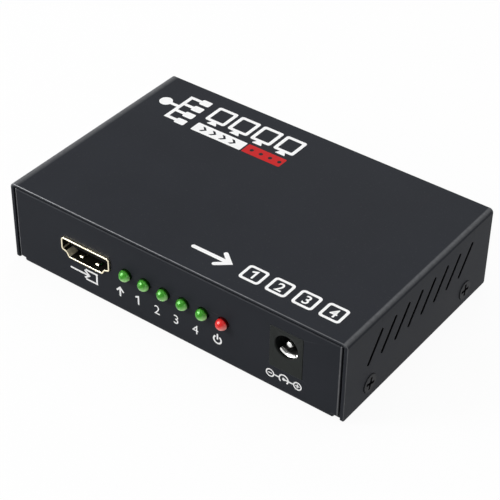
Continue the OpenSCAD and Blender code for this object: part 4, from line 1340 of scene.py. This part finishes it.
def cut_away(blank, tool_mesh):
    """The mesh of a blank with a cutter's shape taken out of it."""
    body = bpy.data.objects.new("blank", blank)
    tool = bpy.data.objects.new("cutter", tool_mesh)
    for item in (body, tool):
        bpy.context.scene.collection.objects.link(item)
    cut = body.modifiers.new("recess", "BOOLEAN")
    cut.operation = "DIFFERENCE"
    cut.solver = "EXACT"
    cut.object = tool
    depsgraph = bpy.context.evaluated_depsgraph_get()
    result = bpy.data.meshes.new_from_object(body.evaluated_get(depsgraph))
    for item in (body, tool):
        mesh = item.data
        bpy.data.objects.remove(item)
        bpy.data.meshes.remove(mesh)
    if len(result.polygons) == 0:
        raise RuntimeError("the cross recess could not be cut")
    return result


def numeral(text, x, y, height, bold=0.0):
    """A plain numeral as a flat mesh in X and Y about a place."""
    curve = bpy.data.curves.new("numeral", "FONT")
    curve.body = text
    curve.align_x = "CENTER"
    curve.align_y = "CENTER"
    curve.size = height / 0.69
    curve.offset = bold
    curve.resolution_u = 6
    item = bpy.data.objects.new("numeral", curve)
    bpy.context.scene.collection.objects.link(item)
    depsgraph = bpy.context.evaluated_depsgraph_get()
    mesh = bpy.data.meshes.new_from_object(item.evaluated_get(depsgraph))
    bpy.data.objects.remove(item)
    bpy.data.curves.remove(curve)
    bm = bmesh.new()
    bm.from_mesh(mesh)
    bpy.data.meshes.remove(mesh)
    middle = [(min(v.co[i] for v in bm.verts) + max(v.co[i] for v in bm.verts)) / 2 for i in (0, 1)]
    bmesh.ops.translate(bm, vec=(x - middle[0], y - middle[1], 0), verts=bm.verts)
    return bm


def joined_shapes(shapes):
    """A flat mesh of shapes joined where they overlap; each shape is an outline, followed by its holes."""
    shapes = [[[Vector(p) for p in loop] for loop in loops] for loops in shapes]
    regions = []
    for loops in shapes:
        edges = [pair for loop in loops for pair in zip(loop, loop[1:] + loop[:1])]
        xs, ys = [a.x for a, _ in edges], [a.y for a, _ in edges]
        regions.append((min(xs), max(xs), min(ys), max(ys), edges))
    every = [loop for loops in shapes for loop in loops]
    points = [p for loop in every for p in loop]
    flat, _, faces, _, _, _ = delaunay_2d_cdt(points, neighbours(every), [], 0, 1e-6, True)
    bm = bmesh.new()
    verts = [bm.verts.new((p.x, p.y, 0)) for p in flat]
    for face in faces:
        middle = sum((flat[i] for i in face), Vector((0, 0))) / len(face)
        if any(x0 < middle.x < x1 and y0 < middle.y < y1 and inside_loops(middle, edges)
               for x0, x1, y0, y1, edges in regions):
            bm.faces.new([verts[i] for i in face])
    bmesh.ops.delete(bm, geom=[v for v in bm.verts if not v.link_faces], context="VERTS")
    return bm


def print_film(look, name, ink, place, shapes, numerals=()):
    """Prints a film of ink: shapes are outlines with their holes, numerals are flat meshes."""
    bm = bmesh.new()
    for part in [joined_shapes(shapes)] + list(numerals):
        flat = bmesh.ops.extrude_face_region(part, geom=part.faces[:])
        lifted = [v for v in flat["geom"] if isinstance(v, bmesh.types.BMVert)]
        bmesh.ops.translate(part, vec=(0, 0, look.prints.film / MM), verts=lifted)
        add_placed(bm, part, place)
    finished(look, name, bm, [ink], sharp=30)


def strokes(pen, *lines):
    """Shapes of pen strokes of one width."""
    return [[stroke(line, pen)] for line in lines]


def screen_sign(x, y, wide, high, pen):
    """A small screen on a foot."""
    foot_high = 1.2
    screen = [rectangle(x, y + foot_high, x + wide, y + high, 0.7),
              rectangle(x + pen, y + foot_high + pen, x + wide - pen, y + high - pen, 0.3)]
    foot = [(x + wide * 0.25, y), (x + wide * 0.75, y),
            (x + wide * 0.62, y + foot_high + 0.05), (x + wide * 0.38, y + foot_high + 0.05)]
    return [screen, [rounded(foot, 0.15, 3)]]


class SPLITTER_OT_prints(bpy.types.Operator):
    """Prints the plain symbols and numerals on the cover and the front panel"""

    bl_idname = "splitter.prints"
    bl_label = "Prints"

    def execute(self, context):
        look = context.scene.splitter_look
        top = Matrix.Translation((0, 0, COVER_HIGH.z - look.prints.film / MM))
        self.print_sign(look, top)
        self.print_numbers(look, top)
        self.print_front(look, along("-Y", 0, TRAY_LOW.y, 0))
        return {"FINISHED"}

    def print_sign(self, look, top):
        """One line that branches to four squares, beside four screens over a strip in two colours."""
        start, bus, end, pen = (-41.3, 19.75), -37.0, -33.6, 1.0
        rows = [14.6, 18.03, 21.47, 24.9]
        shapes = [[circle(*start, 1.75, 40)]] + strokes(
            pen, [(start[0] + 0.8, start[1]), (bus, start[1])],
            [(end, rows[0]), (bus, rows[0]), (bus, rows[-1]), (end, rows[-1])],
            *([(bus, y), (end, y)] for y in rows[1:-1]))
        shapes += [[rectangle(-34.0, y - 1.15, -31.0, y + 1.15, 0.45)] for y in rows]
        for i in range(4):
            shapes += screen_sign(-28.6 + i * 7.0, 18.1, 6.0, 7.8, 0.95)
        low, middle, high = 13.5, 15.3, 17.1
        arrows = [[(x, middle - 1), (x + 0.8, middle - 1), (x + 1.8, middle), (x + 0.8, middle + 1),
                   (x, middle + 1), (x + 1.0, middle)] for x in (-26.6, -23.6, -20.6, -17.6)]
        shapes.append([rectangle(-28.6, low, -13.4, high, 0.3)] + arrows)
        print_film(look, "cover_print_white", "white ink", top, shapes)
        dots = [circle(-10.9 + i * 2.75, middle, 0.55, 24) for i in range(4)]
        print_film(look, "cover_print_red", "red ink", top, [[rectangle(-12.9, low, -1.6, high, 0.3)] + dots])

    def print_numbers(self, look, top):
        """An arrow that points along a row of numbered squares."""
        y, pen = -23.25, 1.1
        shapes = strokes(pen, [(1.4, y), (11.4, y)], [(8.9, y + 2.2), (11.6, y), (8.9, y - 2.2)])
        numerals = []
        for i in OUTPUTS:
            x = 11.2 + i * 7.1
            shapes.append([rectangle(x - 2.75, y - 2.6, x + 2.75, y + 2.6, 0.9),
                           rectangle(x - 2.05, y - 1.9, x + 2.05, y + 1.9, 0.4)])
            if i == 1:
                shapes += strokes(0.55, [(x - 0.7, y + 0.75), (x + 0.2, y + 1.15), (x + 0.2, y - 1.15)])
            else:
                numerals.append(numeral(str(i), x, y, 2.7, 0.06))
        print_film(look, "cover_print_numbers", "white ink", top, shapes, numerals)

    def print_front(self, look, front):
        """Symbols under the input socket, the lamps and the jack."""
        x, z = -25.7, 5.8
        shapes = strokes(
            0.5, [(x - 4.2, z), (x + 1.4, z)], [(x + 0.2, z + 1.0), (x + 1.5, z), (x + 0.2, z - 1.0)],
            [(x + 0.6, z + 1.4), (x + 3.8, z + 1.4), (x + 3.8, z - 1.4), (x + 0.6, z - 1.4)])

        under = {which: lamp_middle(which)[0] - 2.05 for which in LAMPS}
        x = under["input"]
        shapes += strokes(0.5, [(x, 4.6), (x, 6.9)], [(x - 0.9, 6.0), (x, 6.95), (x + 0.9, 6.0)])
        z = 5.85
        numerals = [numeral(str(i), under["output_%d" % i] - 0.2, z, 2.5) for i in OUTPUTS[1:]]
        x = under["output_1"] - 0.1
        shapes += strokes(0.42, [(x - 0.75, z + 0.75), (x, z + 1.1), (x, z - 1.1)])
        x, z = under["power"] + 0.5, 6.1
        shapes += strokes(0.46, open_ring(x, z, 1.05, 42, 318), [(x, z + 0.25), (x, z + 1.5)])

        # Polarity of a power plug: a minus in a ring, an open socket about a pin, a plus in a ring
        x, z, away, arm = 32.1, 4.3, 3.7, 0.45
        shapes.append([circle(x, z, 0.42, 24)])
        shapes += strokes(0.36, open_ring(x, z, 1.2, 130, -130), [(x + 0.3, z), (x + 2.6, z)],
                          [(x - 1.3, z), (x - 2.6, z)])
        for side in (-1, 1):
            sign = x + side * away
            shapes.append([circle(sign, z, 1.15, 32), circle(sign, z, 0.82, 32)])
            shapes += strokes(0.28, [(sign - arm, z), (sign + arm, z)])
        shapes += strokes(0.28, [(x + away, z + arm), (x + away, z - arm)])
        print_film(look, "front_print_white", "white ink", front, shapes, numerals)


class SPLITTER_OT_inside(bpy.types.Operator):
    """Finishes the board and the pieces on it"""

    bl_idname = "splitter.inside"
    bl_label = "Inside"

    def execute(self, context):
        look = context.scene.splitter_look
        nodes_of = {
            "solder mask": ("circuit_board",),
            "chip epoxy": (
                "splitter_chip", "controller_chip", "memory_chip", "regulators", "surge_arrays", "resistors"),
            "tinned copper": ("led_leads", "chip_leads", "board_screws"),
            "plated brass": ("board_standoffs",),
            "black anodised": ("heat_sink",),
            "bare can": ("crystal", "bulk_capacitors"),
            "soft pad": ("thermal_pad",),
            "ferrite": ("choke",),
            "fired ceramic": ("ceramic_capacitors",),
        }
        for label, nodes in nodes_of.items():
            for node in nodes:
                dress(look, node, label, look.inside.edge / MM)
        return {"FINISHED"}


class SPLITTER_OT_stage(bpy.types.Operator):
    """Sets the floor, the soft lights, the white surroundings and the camera"""

    bl_idname = "splitter.stage"
    bl_label = "Stage"

    def execute(self, context):
        scene = context.scene
        look = scene.splitter_look.stage
        scene.view_settings.view_transform = "Standard"

        camera = bpy.data.cameras.new("camera")
        camera.lens = look.lens
        camera.sensor_width = 36.0
        camera.clip_start, camera.clip_end = 0.01, 20.0
        eye = bpy.data.objects.new("camera", camera)
        eye.location = look.eye
        eye.rotation_euler = Euler(look.aim, "XYZ")
        scene.collection.objects.link(eye)
        scene.camera = eye

        world = bpy.data.worlds.new("white room")
        scene.world = world
        world.use_nodes = True
        tree = world.node_tree
        seen = seen_rays(tree)
        light = tree.nodes["Background"]
        light.inputs["Color"].default_value = (1, 1, 1, 1)
        strength = spread(tree, seen, 0.0, 1.0, look.ambient, 1.0)
        tree.links.new(strength, light.inputs["Strength"])

        bm = bmesh.new()
        bmesh.ops.create_circle(bm, cap_ends=True, radius=3.0, segments=64)
        bmesh.ops.translate(bm, vec=(0, 0, -0.00005), verts=bm.verts)
        floor = to_mesh(bm, "floor")
        floor.materials.append(floor_finish(look.floor))
        ground = bpy.data.objects.new("floor", floor)
        scene.collection.objects.link(ground)

        part = (0, 0, 0.01)
        self.lamp(scene, "overhead", look.overhead, 0.9, (0.1, 0.1, 1.0), (0, 0, 0))
        self.lamp(scene, "front_left", look.front, 0.28, (-0.52, -0.49, 0.47), part)
        self.lamp(scene, "rear", look.rear, 0.35, (-0.22, 0.6, 0.64), part)
        for name, share, size, place in (
                ("glint_left", 1.0, 0.7, (-0.53, -0.5, 0.48)),
                ("glint_right", 0.15, 0.45, (0.72, 0.0, 0.34))):
            glint = self.lamp(scene, name, look.glint * share, size, place, part)
            glint.visible_diffuse = False
        return {"FINISHED"}

    def lamp(self, scene, name, power, size, place, target):
        """One soft square lamp that points at a target."""
        data = bpy.data.lights.new(name, "AREA")
        data.energy = power
        data.size = size
        item = bpy.data.objects.new(name, data)
        item.location = place
        item.rotation_euler = (Vector(target) - Vector(place)).to_track_quat("-Z", "Y").to_euler()
        scene.collection.objects.link(item)
        return item


def seen_rays(tree):
    """1 for rays from the camera, in reflections and through clear things, else 0."""
    path = tree.nodes.new("ShaderNodeLightPath")
    seen = maths(tree, "MAXIMUM", path.outputs["Is Camera Ray"], path.outputs["Is Glossy Ray"])
    return maths(tree, "MAXIMUM", seen, path.outputs["Is Transmission Ray"])


def floor_finish(tint):
    """A pale floor that looks white and keeps a soft shadow."""
    material, tree, shader = blank_material("pale floor", {
        "Base Color": (*tint, 1.0), "Roughness": 0.9, "Specular IOR Level": 0.1})
    glow = tree.nodes.new("ShaderNodeEmission")
    glow.inputs["Color"].default_value = (1, 1, 1, 1)
    both = tree.nodes.new("ShaderNodeMixShader")
    tree.links.new(maths(tree, "MULTIPLY", seen_rays(tree), 0.94), both.inputs[0])
    tree.links.new(shader.outputs[0], both.inputs[1])
    tree.links.new(glow.outputs[0], both.inputs[2])
    tree.links.new(both.outputs[0], tree.nodes["Material Output"].inputs["Surface"])
    return material


class SPLITTER_PT_builders(bpy.types.Panel):
    """Lists the builders of the splitter's pieces"""

    bl_idname = "SPLITTER_PT_builders"
    bl_label = "Video splitter"
    bl_space_type = "VIEW_3D"
    bl_region_type = "UI"
    bl_category = "Splitter"

    def draw(self, context):
        for builder in BUILDERS:
            self.layout.operator(builder.bl_idname)


BUILDERS = (
    SPLITTER_OT_stage, SPLITTER_OT_cover, SPLITTER_OT_tray, SPLITTER_OT_screws, SPLITTER_OT_sockets,
    SPLITTER_OT_lamps, SPLITTER_OT_jack, SPLITTER_OT_prints, SPLITTER_OT_inside,
)
GROUPS = (
    SplitterCase, SplitterSockets, SplitterLamps, SplitterJack, SplitterScrews, SplitterPrints,
    SplitterInside, SplitterStage, SplitterLook,
)


def register():
    for cls in GROUPS + BUILDERS + (SPLITTER_PT_builders,):
        bpy.utils.register_class(cls)
    bpy.types.Scene.splitter_look = PointerProperty(type=SplitterLook)


def unregister():
    del bpy.types.Scene.splitter_look
    for cls in reversed(GROUPS + BUILDERS + (SPLITTER_PT_builders,)):
        bpy.utils.unregister_class(cls)


def main():
    register()
    bpy.ops.splitter.stage()
    bpy.ops.splitter.cover()
    bpy.ops.splitter.tray()
    bpy.ops.splitter.screws()
    bpy.ops.splitter.sockets()
    bpy.ops.splitter.lamps()
    bpy.ops.splitter.jack()
    bpy.ops.splitter.prints()
    bpy.ops.splitter.inside()


if __name__ == "__main__":
    main()
